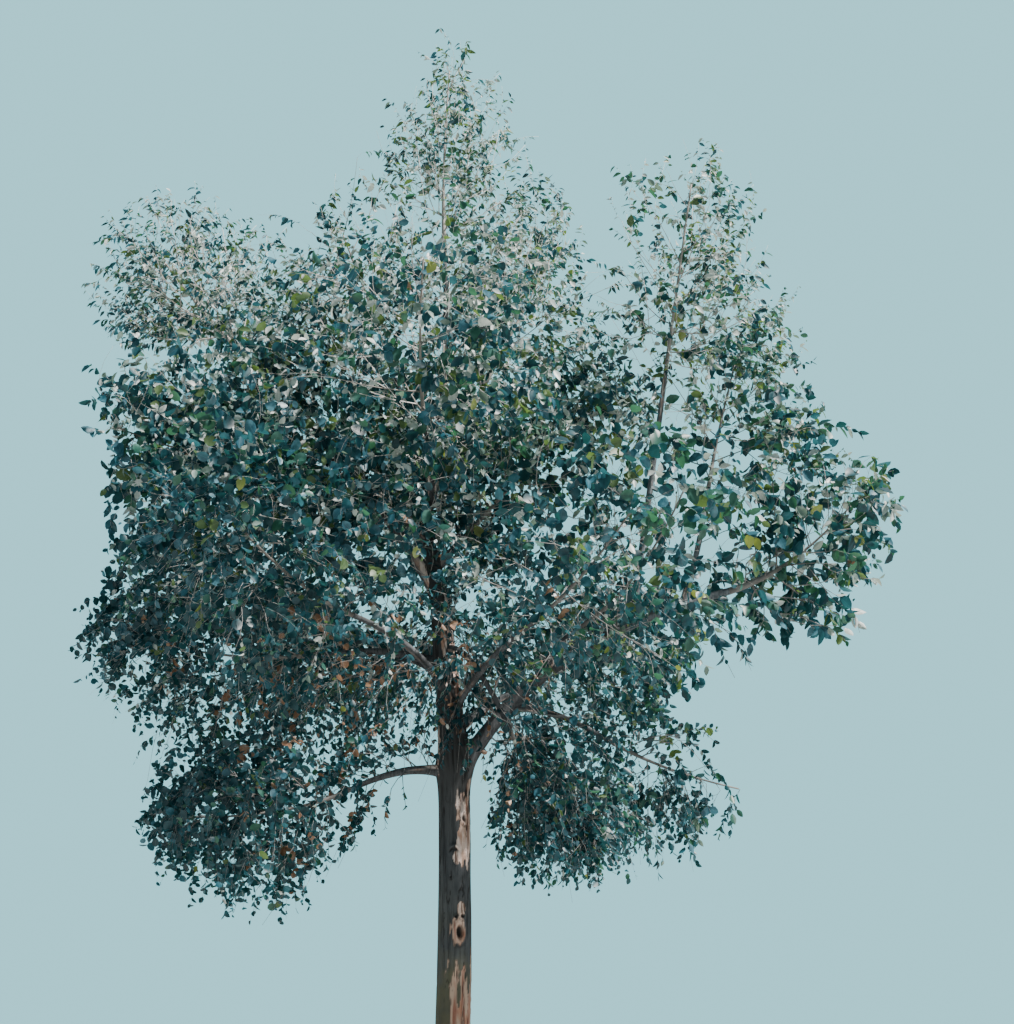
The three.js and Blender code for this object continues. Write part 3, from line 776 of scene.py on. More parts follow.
# Painted shade in the recesses: cracks, splits, knot holes with their creases and eyebrow cracks
# go near black, and the torn edges of the peel a little darker.
crack_shade = 0.85 * smooth_step(0.2, 0.6, crack) + 0.8 * split_depth_and_shade
scar_and_shade = np.clip(knot_shade + brow_shade + crack_shade + 0.5 * rag, 0, 1)
trunk = make_piece("trunk_skin", points, faces, trunk_bark,
                   values={"peel": peel.ravel(), "rust": 0.8 * rust.ravel(), "scar_and_shade": scar_and_shade.ravel()})
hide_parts("trunk")

# %% [markdown]
# The boughs have the same bark at a smaller scale. Their roots lie inside the trunk and
# widen into it, and their tips are as thick as the stems that carry on from them.

# %% Boughs
BOUGH_GRID = (22, 84)

sides, rings = BOUGH_GRID
line = np.array([even_line(lines[name], rings) for name in NAMES])
run = np.linalg.norm(np.diff(line, axis=1), axis=2).cumsum(axis=1)
run = np.concatenate([np.zeros((len(NAMES), 1)), run], axis=1)[..., None]
share = np.linspace(0, 1, rings)[None, :, None]
base = lerp(bough_radius[:, :1, None], bough_radius[:, 1:, None], share)
flare = 1 + 0.45 * np.exp(-np.maximum(run - 0.06, 0) / 0.05)
share_round = np.arange(sides) / sides
key = np.arange(len(NAMES))[:, None, None]
strips = cloud(share_round * 5, run * 3.5 + 40 * key, 5, 41)
strips = strips + 0.4 * cloud(share_round * 11, run * 14 + 90 * key, 11, 42)
peel = smooth_step(0.80, 0.94, strips * (0.72 + 0.4 * np.exp(-run / 0.2)))
lumps = cloud(share_round * 4, run * 16 + 70 * key, 4, 43) - 0.5
surface = base * flare * (1 + 0.12 * lumps) - 0.0011 * peel
points, faces = tubes(line, surface, sides)
# On the boughs this value is only the dark of scars, at random.
scar_and_shade = 0.5 * smooth_step(0.62, 0.8, cloud(share_round * 7, run * 9 + 20 * key, 7, 44))
boughs = make_piece("boughs_skin", points, faces, bough_bark,
                    values={"peel": peel.ravel(), "rust": 0 * peel.ravel(), "scar_and_shade": scar_and_shade.ravel()})
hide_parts(*["bough_" + name for name in NAMES])

# %% [markdown]
# ## Outline and density
#
# The masses overlap, so the crown they make together is a soft union. From the front it
# also has an outline of its own: a narrow spire, a second peak on the right, a deep notch
# between them, a slope down to the right, and sprays that hang lowest left of the trunk.
# Some places let the sky through and a few are fuller. All of this is given in the upright
# plane of the trunk, as metres across and up, and holds along the line of sight.

# %% Outline and density
CROWN_OUTLINE = np.array([
    (-1.47, 4.06), (-1.47, 4.29), (-1.39, 4.42), (-1.27, 4.54), (-1.15, 4.62), (-1.01, 4.51),
    (-0.87, 4.52), (-0.78, 4.35), (-0.63, 4.39), (-0.51, 4.54), (-0.36, 4.58), (-0.30, 4.79),
    (-0.21, 5.06), (-0.09, 5.21), (0.04, 5.14), (0.15, 5.03), (0.16, 4.85), (0.32, 4.74),
    (0.38, 4.53), (0.47, 4.42), (0.51, 4.18), (0.56, 4.08), (0.58, 4.38), (0.63, 4.62),
    (0.74, 4.74), (0.92, 4.70), (1.07, 4.63), (1.21, 4.55), (1.26, 4.27), (1.32, 4.02),
    (1.38, 3.81), (1.48, 3.61), (1.60, 3.47), (1.68, 3.33), (1.66, 2.99), (1.60, 2.87),
    (1.45, 2.66), (1.31, 2.70), (1.18, 2.66), (1.05, 2.50), (0.85, 2.46), (0.84, 2.36),
    (1.13, 2.36), (1.08, 2.10), (0.91, 1.92), (0.69, 1.79), (0.37, 1.74), (0.16, 1.81),
    (0.10, 2.10), (-0.05, 2.22), (-0.20, 2.10), (-0.30, 1.93), (-0.54, 1.68), (-0.80, 1.68),
    (-1.02, 1.83), (-1.14, 2.10), (-1.14, 2.34), (-1.32, 2.45), (-1.40, 2.65), (-1.38, 2.87),
    (-1.30, 3.00), (-1.30, 3.26), (-1.36, 3.49), (-1.46, 3.63), (-1.48, 3.86),
])
# Across, up, radius, and how many times as many sprays there are in its middle
DENSITY = [
    (-1.43, 4.08, 0.14, 2.0), (-1.3, 3.9, 0.14, 0.5), (-1.28, 3.7, 0.14, 0.5),
    (-1.13, 4.36, 0.2, 0.48), (-1.06, 3.8, 0.15, 2.4), (-1.1, 4.12, 0.12, 0.6),
    (-0.72, 4.12, 0.1, 2.0), (-0.52, 4.12, 0.12, 0.6), (-0.33, 4.38, 0.2, 0.32),
    (-0.17, 4.58, 0.13, 0.5), (-0.13, 4.34, 0.12, 0.5), (0.06, 4.8, 0.16, 0.6),
    (0.06, 5.02, 0.14, 0.5), (0.26, 4.6, 0.13, 3.0), (0.65, 4.34, 0.14, 0.32),
    (0.86, 4.1, 0.18, 0.7), (1.04, 4.36, 0.18, 0.45), (1.03, 4.02, 0.18, 0.55),
    (1.28, 4.08, 0.2, 4.0), (1.23, 3.8, 0.12, 1.8), (1.4, 3.52, 0.14, 2.4),
    (1.02, 3.6, 0.22, 0.6), (0.82, 3.52, 0.12, 0.6), (0.82, 3.25, 0.3, 0.12),
    (1.02, 3.12, 0.14, 0.8), (1.28, 3.08, 0.28, 0.6), (1.56, 3.12, 0.14, 0.35),
    (1.53, 2.78, 0.14, 0.45), (0.25, 3.14, 0.16, 0.3), (0.39, 3.33, 0.12, 0.95),
    (0.5, 2.99, 0.15, 0.5), (0.75, 2.95, 0.2, 0.5), (0.97, 2.6, 0.12, 0.5),
    (1.14, 2.8, 0.14, 2.4), (1.02, 2.2, 0.24, 0.34), (1.09, 2.24, 0.19, 0.0),
]
BLEND = 4.0


def in_trunk_plane(points):
    """Where the line of sight to each point meets the plane y = 0, as (across, up):
    eye + (point - eye) eye_y / (eye_y - y)."""
    eye = np.array(EYE)[[0, 2]]
    scale = EYE[1] / (EYE[1] - points[:, 1:2])
    return eye + (points[:, [0, 2]] - eye) * scale


def inside_outline(points):
    """Metres from the crown's outline, positive inside it. The distance is the least one to
    any side, and a place is inside where a level ray from it crosses an odd number of sides."""
    spot = in_trunk_plane(points)[:, None]
    start, end = CROWN_OUTLINE, np.roll(CROWN_OUTLINE, -1, axis=0)
    side = end - start
    t = np.clip(((spot - start) * side).sum(-1) / (side * side).sum(-1), 0, 1)
    gap = np.linalg.norm(spot - start - t[..., None] * side, axis=-1).min(axis=1)
    x, z = spot[..., 0], spot[..., 1]
    level_with = (start[:, 1] > z) != (end[:, 1] > z)
    rise = np.where(side[:, 1] == 0, 1, side[:, 1])
    crossed = level_with & (x < start[:, 0] + side[:, 0] * (z - start[:, 1]) / rise)
    return np.where(crossed.sum(axis=1) % 2 == 1, gap, -gap)


def density(points):
    """How many times as many sprays each point has: the product over all places of
    1 + (times - 1) exp(-(distance / radius)^2)."""
    spot = in_trunk_plane(points)[:, None]
    across, up, radius, times = np.array(DENSITY).T
    distance = np.linalg.norm(spot - np.stack([across, up], axis=1), axis=-1)
    return (1 + (times - 1) * np.exp(-((distance / radius) ** 2))).prod(axis=1)


def tufts(points):
    """Soft lumps in space from -1 to 1: the mean of three sine waves along skew ways."""
    ways = np.array([(9.1, 4.3, -6.2), (-5.4, 8.7, 7.9), (6.6, -7.3, 9.8)])
    return np.sin(points @ ways.T + np.array([0.4, 2.1, 4.4])).mean(axis=1) * 1.6


print("outline:", len(CROWN_OUTLINE), "points,", len(DENSITY), "places")

# %% [markdown]
# ## Growth
#
# Each mass grows by one rule, used again at every size. A limb carries finer limbs at
# even steps along it. Each leaves at an angle that closes towards the tip, turned by the
# golden angle of 137.5 degrees from the one before, as on a real shoot, so that none lies
# straight over another. It is as long as the mass's space allows. A limb that would leave
# that space, or touch a bough, is tried shorter and then left out.

# %% The rule
GOLDEN_ANGLE = np.radians(137.5)
SHORTER = (1.0, 0.75, 0.5)
LEAF_ROOM = 0.03
SOFT_EDGE = (0.78, 1.32)
OUTLINE_EDGE = (-0.08, 0.05)
NEIGHBOUR_ROOM = -0.55
LIMB_ROOM = 0.012
LENGTH_SPREAD = (0.8, 1.2)
POINTS_AT_ONCE = 4000
BOX_MARGIN = 0.018
BRANCH = {"count": 19, "span": (0.08, 0.99), "open": (84, 34), "stray": 0.5, "beyond": 1.0,
          "longest": 0.62, "shortest": 0.06, "vary": 0.25, "sway": 0.12, "droop": 0.0,
          "thick": (0.42, 0.36)}
TWIG = {"count": 9, "span": (0.12, 1.0), "open": (62, 24), "stray": 0.8, "beyond": 1.3,
        "longest": 0.30, "shortest": 0.05, "vary": 0.5, "sway": 0.18, "droop": 0.06,
        "thick": (0.70, 0.62)}
SHOOT = {"count": 6, "span": (0.15, 1.0), "open": (58, 12), "stray": 1.2, "beyond": 1.5,
         "longest": 0.20, "shortest": 0.04, "vary": 0.65, "sway": 0.22, "droop": 0.24,
         "thick": (0.80, 0.55)}
SPUR = {"count": 15, "span": (0.2, 0.98), "open": (78, 50), "stray": 1.5, "beyond": 1.0,
        "longest": 0.38, "shortest": 0.38, "vary": 0.65, "sway": 0.2, "droop": 0.0,
        "thick": (0.18, 0.5)}
SPUR_FULL = 0.85

box_size = np.array(cad_high - cad_low)
reach_low = np.array(cad_low) - BOX_MARGIN * box_size
reach_high = np.array(cad_high) + BOX_MARGIN * box_size
limb_points = np.concatenate([lines[name][::4] for name in ["trunk", *NAMES]])
limb_radii = np.concatenate(
    [trunk_radius[::4], *[np.linspace(*radii, LINE_POINTS)[::4] for radii in bough_radius]])


def in_box(points):
    """True inside the frame's own box, with a small margin."""
    return np.all((points > reach_low) & (points < reach_high), axis=1)


def clear_of_limbs(points, room):
    """True where a point lies further than `room` from the surface of every limb."""
    clear = np.ones(len(points), bool)
    for start in range(0, len(points), POINTS_AT_ONCE):
        part = slice(start, start + POINTS_AT_ONCE)
        gap = np.linalg.norm(points[part, None] - limb_points[None], axis=2) - limb_radii
        clear[part] = gap.min(axis=1) > room
    return clear


def in_reach(mass, points, key, spur):
    """True where a point is inside the tree's box, the outline and the union of all egg
    shapes, whose edge is soft: each key has its own limit. Distances d from the middles are
    joined as -ln(sum of exp(-4 d)) / 4. A point may lie only a little nearer to another
    mass's middle than to its own. Spurs only have to stay inside the box and the outline."""
    every = np.linalg.norm((points[:, None] - CENTRE) / SIZE, axis=2)
    union = -np.log(np.exp(-BLEND * every).sum(axis=1)) / BLEND
    own = np.take_along_axis(every, mass[:, None], axis=1)[:, 0]
    every[np.arange(len(mass)), mass] = np.inf
    inside = in_box(points) & (inside_outline(points) > lerp(*OUTLINE_EDGE, chance(key, 8)))
    at_home = union < lerp(*SOFT_EDGE, chance(key, 9))
    at_home &= every.min(axis=1) > own + NEIGHBOUR_ROOM
    return inside & (spur | at_home)


def way_to_edge(mass, start, way, beyond):
    """Distance along a unit way to the edge of the mass's egg shape, made larger by
    `beyond`: the larger root s of |(start + s way - centre) / size| = 1, or 0 where the
    start lies outside."""
    q = (start - CENTRE[mass]) / (SIZE[mass] * beyond)
    d = way / (SIZE[mass] * beyond)
    a, b, c = (d * d).sum(1), (q * d).sum(1), (q * q).sum(1) - 1
    return np.where(c > 0, 0, (np.sqrt(np.maximum(b * b - a * c, 0)) - b) / a)


def sideways(along, opening, turn):
    """Unit directions at an angle `opening` from `along`, turned by `turn` round it."""
    a, b = square_pair(along, is_upright(along))
    opening, turn = np.asarray(opening)[..., None], np.asarray(turn)[..., None]
    return np.cos(opening) * along + np.sin(opening) * (np.cos(turn) * a + np.sin(turn) * b)


def child_keys(parents, rule):
    """The keys of all limbs that each parent may carry: (n, count)."""
    return (parents["key"][:, None] * 61 + np.arange(rule["count"]) + 1) & 0xFFFFFFFF


def grow(parents, rule):
    """Finer limbs on parents, a dict of arrays: bend (n, 3, 3), radius (n, 2), and mass,
    key and spur (n,). Returns a dict of the same kind for those that fit."""
    order = np.arange(rule["count"])
    key = child_keys(parents, rule)
    share = lerp(*rule["span"], order / (rule["count"] - 1)) + 0 * key
    start = bend_point(parents["bend"][:, None], share)
    along = bend_way(parents["bend"][:, None], share)
    opening = np.radians(lerp(*rule["open"], share))
    turn = GOLDEN_ANGLE * order + rule["stray"] * jitter(key, 1)
    way = sideways(along, opening, turn)
    thick = lerp(parents["radius"][:, :1], parents["radius"][:, 1:], share)
    mass = parents["mass"][:, None] + 0 * key
    key, start, way, thick, mass = (
        a.reshape(-1, *a.shape[2:]) for a in (key, start, way, thick, mass))
    spur = parents["spur"].repeat(rule["count"])

    room = way_to_edge(mass, start, way, rule["beyond"])
    room = room * lerp(*LENGTH_SPREAD, chance(key, 3)) - LEAF_ROOM
    full = np.clip(np.where(spur, rule["longest"], room), rule["shortest"], rule["longest"])
    full = full * (1 - rule["vary"] * chance(key, 2))
    sway = sideways(way, np.full(len(key), np.pi / 2), 2 * np.pi * chance(key, 4)) * rule["sway"]
    bend = np.zeros((len(key), 3, 3))
    fits = np.zeros(len(key), bool)
    for shorter in SHORTER:
        length = (full * shorter)[:, None]
        knee = start + (way / 2 + sway) * length
        tip = start + way * length + UP * (LIFT[mass][:, None] - rule["droop"]) * length
        ends = tip + unit(tip - knee) * LEAF_ROOM
        good = in_reach(mass, ends, key, spur) & clear_of_limbs(tip, LIMB_ROOM)
        good &= clear_of_limbs(knee, LIMB_ROOM) & ~fits
        bend[good] = np.stack([start, knee, tip], axis=1)[good]
        fits |= good
    root_share, tip_share = rule["thick"]
    radius = thick[:, None] * root_share * np.array([[1, tip_share]])
    return only({"bend": bend, "radius": radius, "mass": mass, "key": key, "spur": spur}, fits)


def joined(*kinds):
    """Several dicts of arrays as one."""
    return {name: np.concatenate([kind[name] for kind in kinds]) for name in kinds[0]}


def counted(**kinds):
    """How many limbs there are of each kind."""
    return {name: len(kind["key"]) for name, kind in kinds.items()}


masses = np.arange(len(NAMES))
stems = {
    "bend": stem_bends,
    "radius": np.stack([bough_radius[:, 1], np.full(len(NAMES), STEM_TIP_RADIUS)], axis=1),
    "mass": masses,
    "key": masses + 1,
    "spur": masses < 0,
}
branches = grow(stems, BRANCH)
twigs = grow(branches, TWIG)
print("grown:", counted(stems=stems, branches=branches, twigs=twigs))

# %% [markdown]
# Boughs and the upper trunk aren't bare either. Short spurs stand on them, and their leaves
# hide much of the wood in the middle of the crown. A spur belongs to no egg shape.

# %% Spurs
TRUNK_SPURS = (0.56, 0.78, 0.97)
TRUNK_SPUR_RADII = (0.013, 0.010)

trunk_bend = trunk_line[[round(at * (LINE_POINTS - 1)) for at in TRUNK_SPURS]]
bare_limbs = {
    "bend": np.concatenate([bough_bends, [trunk_bend] * 2]),
    "radius": np.concatenate([bough_radius, [TRUNK_SPUR_RADII] * 2]),
    "mass": np.append(masses, [NAMES.index("centre_left"), NAMES.index("centre_right")]),
    "key": np.arange(len(NAMES) + 2) + 501,
    "spur": np.ones(len(NAMES) + 2, bool),
}
spurs = grow(bare_limbs, SPUR)
print("grown:", counted(spurs=spurs))

# %% [markdown]
# Not every place for a spray is taken. The crown is thin at its top and at its upper edge,
# where the young shoots are, and dense low and inside. It is clumpy everywhere, and open in
# a few places. Whole twigs are left out as well as single shoots, and a limb ends where the
# last thing that it still carries leaves it, so that no bare ends stick out.

# %% Sprays
EDGE_SHARE = 0.4
EDGE_FADE = (0.08, 0.28)
CLUMPS = 0.45


def taken(limbs):
    """Share of the places taken at each limb's tip. It falls outwards and upwards in a mass
    and towards the outline, and follows the tufts and the density."""
    tip, mass = limbs["bend"][:, 2], limbs["mass"]
    upward = np.clip((tip - CENTRE[mass])[:, 2] / SIZE[mass, 2], -1, 1)
    share = FULL[mass] * (1.4 - 0.6 * depth_in(mass, tip)) * (1 - THIN[mass] * upward)
    fade = lerp(*EDGE_FADE, smooth_step(2.9, 3.9, tip[:, 2]))
    share *= lerp(EDGE_SHARE, 1, smooth_step(0, 1, inside_outline(tip) / fade))
    share = np.where(limbs["spur"], SPUR_FULL, share) * (1 + CLUMPS * tufts(tip))
    return np.clip(share * density(tip), 0, 1)


def thinned(limbs, seed):
    """The limbs that stay: each by chance, with the square root of its share, because
    shoots are thinned twice, once with their twig."""
    stay = chance(limbs["key"], seed) < np.sqrt(taken(limbs))
    return only(limbs, stay)


def ended(limbs, rule, children):
    """The limbs that still carry something, each cut off at the last thing it carries. The
    first part of a three-point bend, up to the share s, is the bend through its root, the
    place s of the way to its knee, and its own point at s."""
    carries = np.isin(child_keys(limbs, rule), children["key"])
    last = (carries * np.linspace(*rule["span"], rule["count"])).max(axis=1)
    bend = limbs["bend"]
    knee = lerp(bend[:, 0], bend[:, 1], last[:, None])
    bend = np.stack([bend[:, 0], knee, bend_point(bend, last)], axis=1)
    return only({**limbs, "bend": bend}, last > 0)


twigs = thinned(joined(twigs, spurs), 11)
shoots = thinned(grow(twigs, SHOOT), 12)
twigs = ended(twigs, SHOOT, shoots)
branches = ended(branches, TWIG, twigs)
stems = ended(stems, BRANCH, branches)
print("kept:", counted(stems=stems, branches=branches, twigs=twigs, shoots=shoots))

# %% [markdown]
# Stems and branches are brown-grey like thin boughs. Twigs and shoots are pale, almost
# white in the sun, with some pink. Each kind is one mesh of many tubes, with fewer sides
# the finer it is, because a twig is narrower than a pixel or two. They are darker low down
# and on the right, where the crown above shades them: there z - 0.8 x is small.

# %% Twig materials and meshes
THINNING = 1.8
SHADE = (0.075, 0.080, 0.085)
SHADY_WAY = (-0.8, 0.0, 1.0)

branch_bark = make_finish(
    "branch_bark", 0.7, (0.26, 0.23, 0.21), ((0.48, 0.44, 0.40), 14.0, 0.5, 0.2, EVEN),
    shade=(SHADE, SHADY_WAY, 3.7, 2.6, 0.6))
shoot_bark = make_finish(
    "shoot_bark", 0.55, (0.66, 0.60, 0.56), ((0.92, 0.89, 0.86), 9.0, 0.5, 0.2, EVEN),
    shade=(SHADE, SHADY_WAY, 3.7, 2.6, 0.72))


def twig_mesh(name, grown, rings, sides, material):
    """Tubes along every bend, that thin fast at first: at the share s of the way from
    root to tip, 1 - (1 - s)^1.8 of the way from the one radius to the other."""
    share = np.linspace(0, 1, rings)
    line = bend_point(grown["bend"][:, None], share)
    radius = lerp(grown["radius"][:, :1], grown["radius"][:, 1:], 1 - (1 - share) ** THINNING)
    points, faces = tubes(line, radius, sides)
    return make_piece(name, points, faces, material)


twig_pieces = [
    twig_mesh("stems", stems, 14, 8, branch_bark),
    twig_mesh("branches", branches, 7, 5, branch_bark),
    twig_mesh("twigs", twigs, 4, 4, shoot_bark),
    *(twig_mesh(f"shoots_{part + 1}", only(shoots, slice(part, None, 2)), 4, 3, shoot_bark)
      for part in range(2)),
]

# %% [markdown]
# ## Leaves
#
# A cider gum has two kinds of leaf. Low down and inside they are almost as wide as long,
# and sit in pairs straight on the twig. On the young tips and high up they are small and
# narrow and hang down. So a leaf's shape here is a blend of the two outlines by one number,
# its slimness. A leaf is nine points: its foot, three down each edge, its tip and one in
# the middle, which is sunk so that the blade is a shallow cup. Most leaves bend back a
# little towards their tips.

# %% Leaf places
MOST_PAIRS = 7
FIRST_PAIR = 0.022
LEAVES_LEFT = 0.86
ROUND_LEAF = {"length": 0.047, "ratio": 0.88, "open": 66, "gap": 0.027}
SLIM_LEAF = {"length": 0.046, "ratio": 0.36, "open": 40, "gap": 0.021}
LEAF_SIZES = (0.42, 1.32)
SIZE_ALONG_SHOOT = (1.08, 0.75)
LEAF_CLEARANCE = 0.004
OPEN_STRAY = 14
LOW_LEFT_SIZE = 0.62
LOW_SIZE = 0.72
HIGH_SIZE = 0.76
RIGHT_SIZE = 1.14
LEAF_DROOP = 0.75
LEAF_SPIN = 1.2


def size_by_place(point):
    """Leaves are smaller low down and near the top, and larger on the right."""
    x, z = point[..., 0], point[..., 2]
    low_left = (1 - smooth_step(2.4, 3.6, z)) * (1 - smooth_step(0.5, 1.1, x))
    low_right = (1 - smooth_step(2.3, 2.6, z)) * smooth_step(0.4, 0.8, x)
    right = smooth_step(0.3, 0.8, x) * (1 - smooth_step(3.4, 4.0, z))
    size = lerp(1, LOW_LEFT_SIZE, low_left) * lerp(1, RIGHT_SIZE, right)
    return size * lerp(1, LOW_SIZE, low_right) * lerp(1, HIGH_SIZE, smooth_step(3.2, 3.9, z))


def leaf_spacing(shoots, order, key):
    """How slim each leaf is, and its share of the way along its shoot. Round leaves stand
    in pairs, slim ones one by one."""
    depth = depth_in(shoots["mass"], shoots["bend"][:, 2])[:, None]
    slim = SLIM[shoots["mass"]][:, None] + 0.6 * (depth - 0.8)
    slim = np.clip(slim + 0.22 * jitter(shoots["key"][:, None], 2), 0, 1) + 0 * key
    length = np.linalg.norm(shoots["bend"][:, 2] - shoots["bend"][:, 0], axis=1)[:, None]
    apart = 0.5 * slim * (order % 2)
    gap = lerp(ROUND_LEAF["gap"], SLIM_LEAF["gap"], slim)
    distance = FIRST_PAIR + gap * (order // 2 + apart + 0.25 * jitter(key, 1))
    return slim, distance / length


def leaf_ways(along, slim, turn, key):
    """The way each leaf points, drooping more the slimmer it is, and its face's normal,
    which is turned a little about that way."""
    opening = lerp(ROUND_LEAF["open"], SLIM_LEAF["open"], slim) + OPEN_STRAY * jitter(key, 3)
    way = sideways(along, np.radians(opening), turn + lerp(0.35, 1.4, slim) * jitter(key, 5))
    way = unit(way - UP * LEAF_DROOP * (0.4 + 0.9 * slim + 0.5 * jitter(key, 6))[..., None])
    normal = unit(along - way * (along * way).sum(-1, keepdims=True))
    spin = (LEAF_SPIN * jitter(key, 7))[..., None]
    return way, np.cos(spin) * normal + np.sin(spin) * np.cross(normal, way)


def leaf_places(shoots):
    """Pairs of leaves along the shoots, each pair turned a quarter from the last. A dict of
    root, way, normal, length, slim, spray and key for the leaves that fit."""
    order = np.arange(2 * MOST_PAIRS)
    key = (shoots["key"][:, None] * 37 + order + 1) & 0xFFFFFFFF
    spray = shoots["key"][:, None] + 0 * key
    slim, share = leaf_spacing(shoots, order, key)
    has_leaf = (share < 1.02) & (chance(key, 10) < LEAVES_LEFT)
    share = np.clip(share, 0, 1)
    root = bend_point(shoots["bend"][:, None], share)
    along = bend_way(shoots["bend"][:, None], share)
    turn = 2 * np.pi * chance(shoots["key"], 4)[:, None]
    turn = turn + np.pi / 2 * (order // 2) + np.pi * (order % 2)
    way, normal = leaf_ways(along, slim, turn, key)
    size = lerp(*LEAF_SIZES, chance(key, 8) ** 1.2) * lerp(*SIZE_ALONG_SHOOT, share**2)
    size = size * size_by_place(root)
    length = lerp(ROUND_LEAF["length"], SLIM_LEAF["length"], slim) * size
    places = only({"root": root, "way": way, "normal": normal, "length": length, "slim": slim,
                   "spray": spray, "key": key}, has_leaf)
    tips = places["root"] + places["way"] * places["length"][:, None]
    return only(places, in_box(tips) & clear_of_limbs(tips, LEAF_CLEARANCE))


leaves = leaf_places(shoots)
print("leaves:", len(leaves["key"]))

# %% [markdown]
# The outline's two shapes are given as half widths at three places along the blade. The
# faces are a fan of eight triangles round the middle point.

# %% Leaf surface
ROUND_OUTLINE = np.array([[0.17, 0.38], [0.50, 0.50], [0.82, 0.34]])
SLIM_OUTLINE = np.array([[0.20, 0.34], [0.44, 0.50], [0.77, 0.27]])
CUP = (0.05, 0.16)
CURL = (-0.05, 0.30)


def leaf_surface(places):
    """Points (9n, 3), faces and UV of leaves: root + u length way + v width side
    + w length normal, where w = cup - curl u^2 at the edge and -curl u^2 in the middle."""
    count = len(places["key"])
    slim = places["slim"][:, None, None]
    edge = lerp(ROUND_OUTLINE, SLIM_OUTLINE, slim)
    axis = np.zeros((count, 1))
    u = np.hstack([axis, edge[..., 0], axis + 1, edge[:, ::-1, 0], axis + 0.5])
    v = np.hstack([axis, -edge[..., 1], axis, edge[:, ::-1, 1], axis])
    cup = lerp(*CUP, chance(places["key"], 21))[:, None]
    curl = lerp(*CURL, chance(places["key"], 22))[:, None]
    w = cup * np.abs(v) * 2 - curl * u**2
    side = np.cross(places["normal"], places["way"])
    length, width = places["length"][:, None, None], places["width"][:, None, None]
    points = (places["root"][:, None] + u[..., None] * length * places["way"][:, None]
              + v[..., None] * width * side[:, None]
              + w[..., None] * length * places["normal"][:, None])
    rim = np.arange(8)
    fan = np.stack([np.full(8, 8), rim, (rim + 1) % 8], axis=1)
    faces = fan[None] + 9 * np.arange(count)[:, None, None]
    uv = np.stack([0.5 + v, u], axis=-1)
    return points.reshape(-1, 3), [faces.reshape(-1, 3)], uv.reshape(-1, 2)


# %% [markdown]
# Colours are dealt out by spray, so that neighbouring leaves share one. Part of the choice
# is painted light. Deep teal and blue-green lie low and inside, away from the sun, as painted
# shade where the sky alone lights them. Green and olive lie on the sunny side, and olive and
# lime stand partly for leaves that the sun lights through: painted sunlight. Grey and silver
# bloom is thickest on the slim young leaves of the top, which are smaller too, and a little
# thicker towards the sun as painted highlights. A few sprays are lime, and a few low inner
# leaves are dead and tan.

# %% Leaf kinds
SUN_WAY = unit(np.array([0.62, -0.20, 0.80]))
CROWN_MIDDLE = np.array([0.05, 0.0, 3.3])
STRAY_SHARE = 0.45
YOUNG_KINDS = ("grey", "silver")
YOUNG_SLIM = 0.6
YOUNG_SIZE = 0.85
# Face, bloom, and the glow when the sun is behind
LEAF_KINDS = {
    # deep is darkened partly as painted shade; olive and lime are partly painted sunlight through
    # the leaf
    "deep": ((0.004, 0.042, 0.058), (0.020, 0.104, 0.130), (0.015, 0.11, 0.10)),
    "blue": ((0.012, 0.088, 0.128), (0.090, 0.245, 0.315), (0.03, 0.17, 0.18)),
    "green": ((0.014, 0.078, 0.062), (0.060, 0.175, 0.145), (0.06, 0.24, 0.10)),
    "olive": ((0.052, 0.105, 0.040), (0.145, 0.215, 0.105), (0.18, 0.32, 0.06)),
    "lime": ((0.180, 0.230, 0.055), (0.300, 0.360, 0.140), (0.36, 0.44, 0.06)),
    "grey": ((0.130, 0.215, 0.190), (0.360, 0.460, 0.420), (0.20, 0.32, 0.20)),
    "silver": ((0.470, 0.560, 0.545), (0.860, 0.880, 0.850), (0.38, 0.46, 0.36)),
    "dead": ((0.270, 0.140, 0.085), (0.560, 0.390, 0.270), (0.30, 0.15, 0.06)),
}
KIND_NAMES = list(LEAF_KINDS)
# Each kind's weight anywhere, and what is added to it towards the sun, high up and low down
# The sun and low columns paint light and shade: deep and blue gain away from the sun, deep gains
# low down, and green, olive, lime, grey and silver gain towards the sun.
LEAF_SHARES = np.array([
    (1.6, -0.35, -0.5, 1.5), (0.9, -0.35, -0.2, -0.4), (0.5, 0.3, 0.1, 0), (0.18, 0.2, 0.2, 0),
    (0.02, 0.03, 0, 0), (0.18, 0.1, 0.42, -0.1), (0.38, 0.1, 0.5, -0.26), (0.003, 0, 0, 0),
])


def leaf_weights(places):
    """How likely each kind is for each leaf: (n, kinds). Silver is likelier on slim leaves
    high up, and dead leaves are low and inside, on the left."""
    out = (places["root"] - CROWN_MIDDLE) / np.array([1.6, 1.3, 1.9])
    x, z = places["root"][:, 0], places["root"][:, 2]
    sunny = np.clip((out * SUN_WAY).sum(1), -1, 1)
    high, low = smooth_step(2.7, 3.8, z), 1 - smooth_step(2.2, 3.0, z)
    weights = np.stack([1 + 0 * z, sunny, high, low], axis=1) @ LEAF_SHARES.T
    inner = 1 - smooth_step(0.35, 0.95, np.linalg.norm(out, axis=1))
    weights[:, KIND_NAMES.index("silver")] += 0.1 * places["slim"] * high
    weights[:, KIND_NAMES.index("dead")] += 0.9 * low * inner * (1 - smooth_step(-0.2, 0.5, x))
    return weights.clip(0.002)


def picked(weights, share):
    """The kind at each leaf's share of its weights, laid end to end."""
    return (share[:, None] * weights.sum(1, keepdims=True) > weights.cumsum(1)).sum(1)


